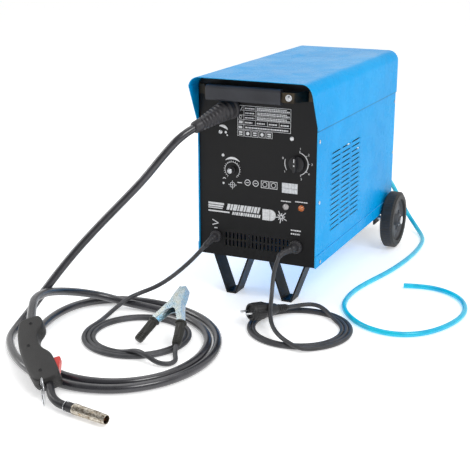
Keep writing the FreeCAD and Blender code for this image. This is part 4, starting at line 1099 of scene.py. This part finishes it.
def make_nozzle():
    """The nozzle, open at its tip, the contact tip inside it and the bright ring behind it."""
    bend_end = Vector((230 + 70 * math.sin(NECK_ANGLE), 3 + 70 * (1 - math.cos(NECK_ANGLE))))
    ahead = Vector((math.cos(NECK_ANGLE), math.sin(NECK_ANGLE)))
    start = in_torch(*(bend_end + ahead * 25.5))
    axis = in_torch(*(bend_end + ahead * 60)) - start
    nozzle = Shell().lathe(start, axis, [
        (0, 0.0089), (0.0005, 0.0101), (0.0015, 0.0105), (0.006, 0.0105), (0.0068, 0.0101),
        (0.0072, 0.0105), (0.0105, 0.0105), (0.0112, 0.0101), (0.054, 0.0099), (0.064, 0.0095),
        (0.0735, 0.0091), (0.0755, 0.0088), (0.076, 0.0084), (0.0758, 0.0078), (0.074, 0.0075),
        (0.006, 0.0078)], 56, closed=True)
    nozzle = nozzle.make("gas_nozzle_shell", NOZZLE, slot="nozzle_metal", replaces="gas_nozzle")
    tip = Shell().lathe(start, axis, [
        (0.001, 0), (0.001, 0.0076), (0.034, 0.0072), (0.036, 0.004), (0.037, 0.0034),
        (0.058, 0.0034), (0.062, 0.0026), (0.062, 0.0007), (0.055, 0.0007), (0.055, 0)], 32)
    ring = Shell().lathe(start - axis.normalized() * 0.0195, axis, [
        (0, 0.0086), (0.0002, 0.0101), (0.0008, 0.0104), (0.0016, 0.0101), (0.0018, 0.0086)], 48,
        closed=True)
    return [nozzle, tip.make("contact_tip", COPPER, slot="copper"),
            ring.make("neck_ring", BRIGHT, slot="bright_steel")]


make_prints()
make_knobs()
make_grip_bolt()
boot = make_boot()
earth_gland = make_gland("earth_gland_nut", "earth_gland", EARTH_X, 0.014, EARTH_LEAD, EARTH_SIZE)
mains_gland = make_gland("mains_gland_nut", "mains_gland", MAINS_X, 0.0155, MAINS_LEAD, MAINS_SIZE)
fixed_grip = make_clamp_grip("clamp_fixed_sleeve", "clamp_fixed_grip", 1, "machine")
moving_grip = make_clamp_grip("clamp_moving_sleeve", "clamp_moving_grip", -1, "clamp_jaw")
spring_pieces = make_clamp_spring()
plug_pieces = make_plug()
handle_pieces = make_torch_handle()
nozzle_pieces = make_nozzle()


# ---------- the cords ride on the machine, and the CAD's cords are hidden

for item, slot_name in ((torch_hose, "hose_rubber"), (earth_cable, "hose_rubber"),
                        (mains_cable, "hose_rubber"), (gas_hose, "gas_tube")):
    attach(item, "machine")
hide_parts("torch_hose")
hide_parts("earth_cable", "earth_cable_coil")
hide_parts("mains_cable", "mains_cable_coil")
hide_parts("gas_hose")


# ---------- studio

FLOOR_REACH = 60
FLOOR_GAP = 0.0003
LIT_PLACE = Vector((0, -0.2, 0.2))


def make_floor():
    mesh = bpy.data.meshes.new("studio_floor")
    corners = [(FLOOR_REACH * x, FLOOR_REACH * y, 0)
               for x, y in ((-1, -1), (1, -1), (1, 1), (-1, 1))]
    mesh.from_pydata(corners, [], [(0, 1, 2, 3)])
    floor = show("studio_floor", mesh)
    dress(floor, floor_material())
    floor.location.z = -FLOOR_GAP


def make_light(name, place, size, power):
    data = bpy.data.lights.new(name, "AREA")
    data.shape = "RECTANGLE"
    data.size, data.size_y = size
    data.energy = power
    lamp = show(name, data)
    lamp.location = place
    lamp.rotation_euler = (LIT_PLACE - lamp.location).to_track_quat("-Z", "Y").to_euler()


def make_world():
    """A white studio: bright overhead and behind, dimmer on the side the photo is taken from."""
    world = bpy.data.worlds.new("studio_world")
    nodes = Nodes(world)
    way = nodes.add("SeparateXYZ", {"Vector": nodes.add("TexCoord").outputs["Generated"]}).outputs
    behind = nodes.ramp(way["Y"], -0.5, 0.35, 0.3, 0.8)
    overhead = nodes.ramp(way["Z"], 0.15, 0.75, 0.0, 0.3)
    seen = nodes.add("LightPath").outputs["Is Camera Ray"]
    light = nodes.math("MAXIMUM", behind, overhead)
    level = nodes.add("Mix", {"Factor": seen, "A": light, "B": 1.0}).outputs["Result"]
    background = nodes.tree.nodes["Background"].inputs
    nodes.feed(background["Strength"], level)
    background["Color"].default_value = (1, 1, 1, 1)
    bpy.context.scene.world = world


make_floor()
make_world()
make_light("key_light", (1.9, -1.5, 2.4), (1.4, 1.0), 36)
make_light("left_light", (-2.6, -0.9, 1.6), (0.8, 1.8), 22)
make_light("top_light", (-0.3, 0.5, 2.8), (2.2, 1.8), 12)
bpy.context.scene.view_settings.view_transform = "Standard"
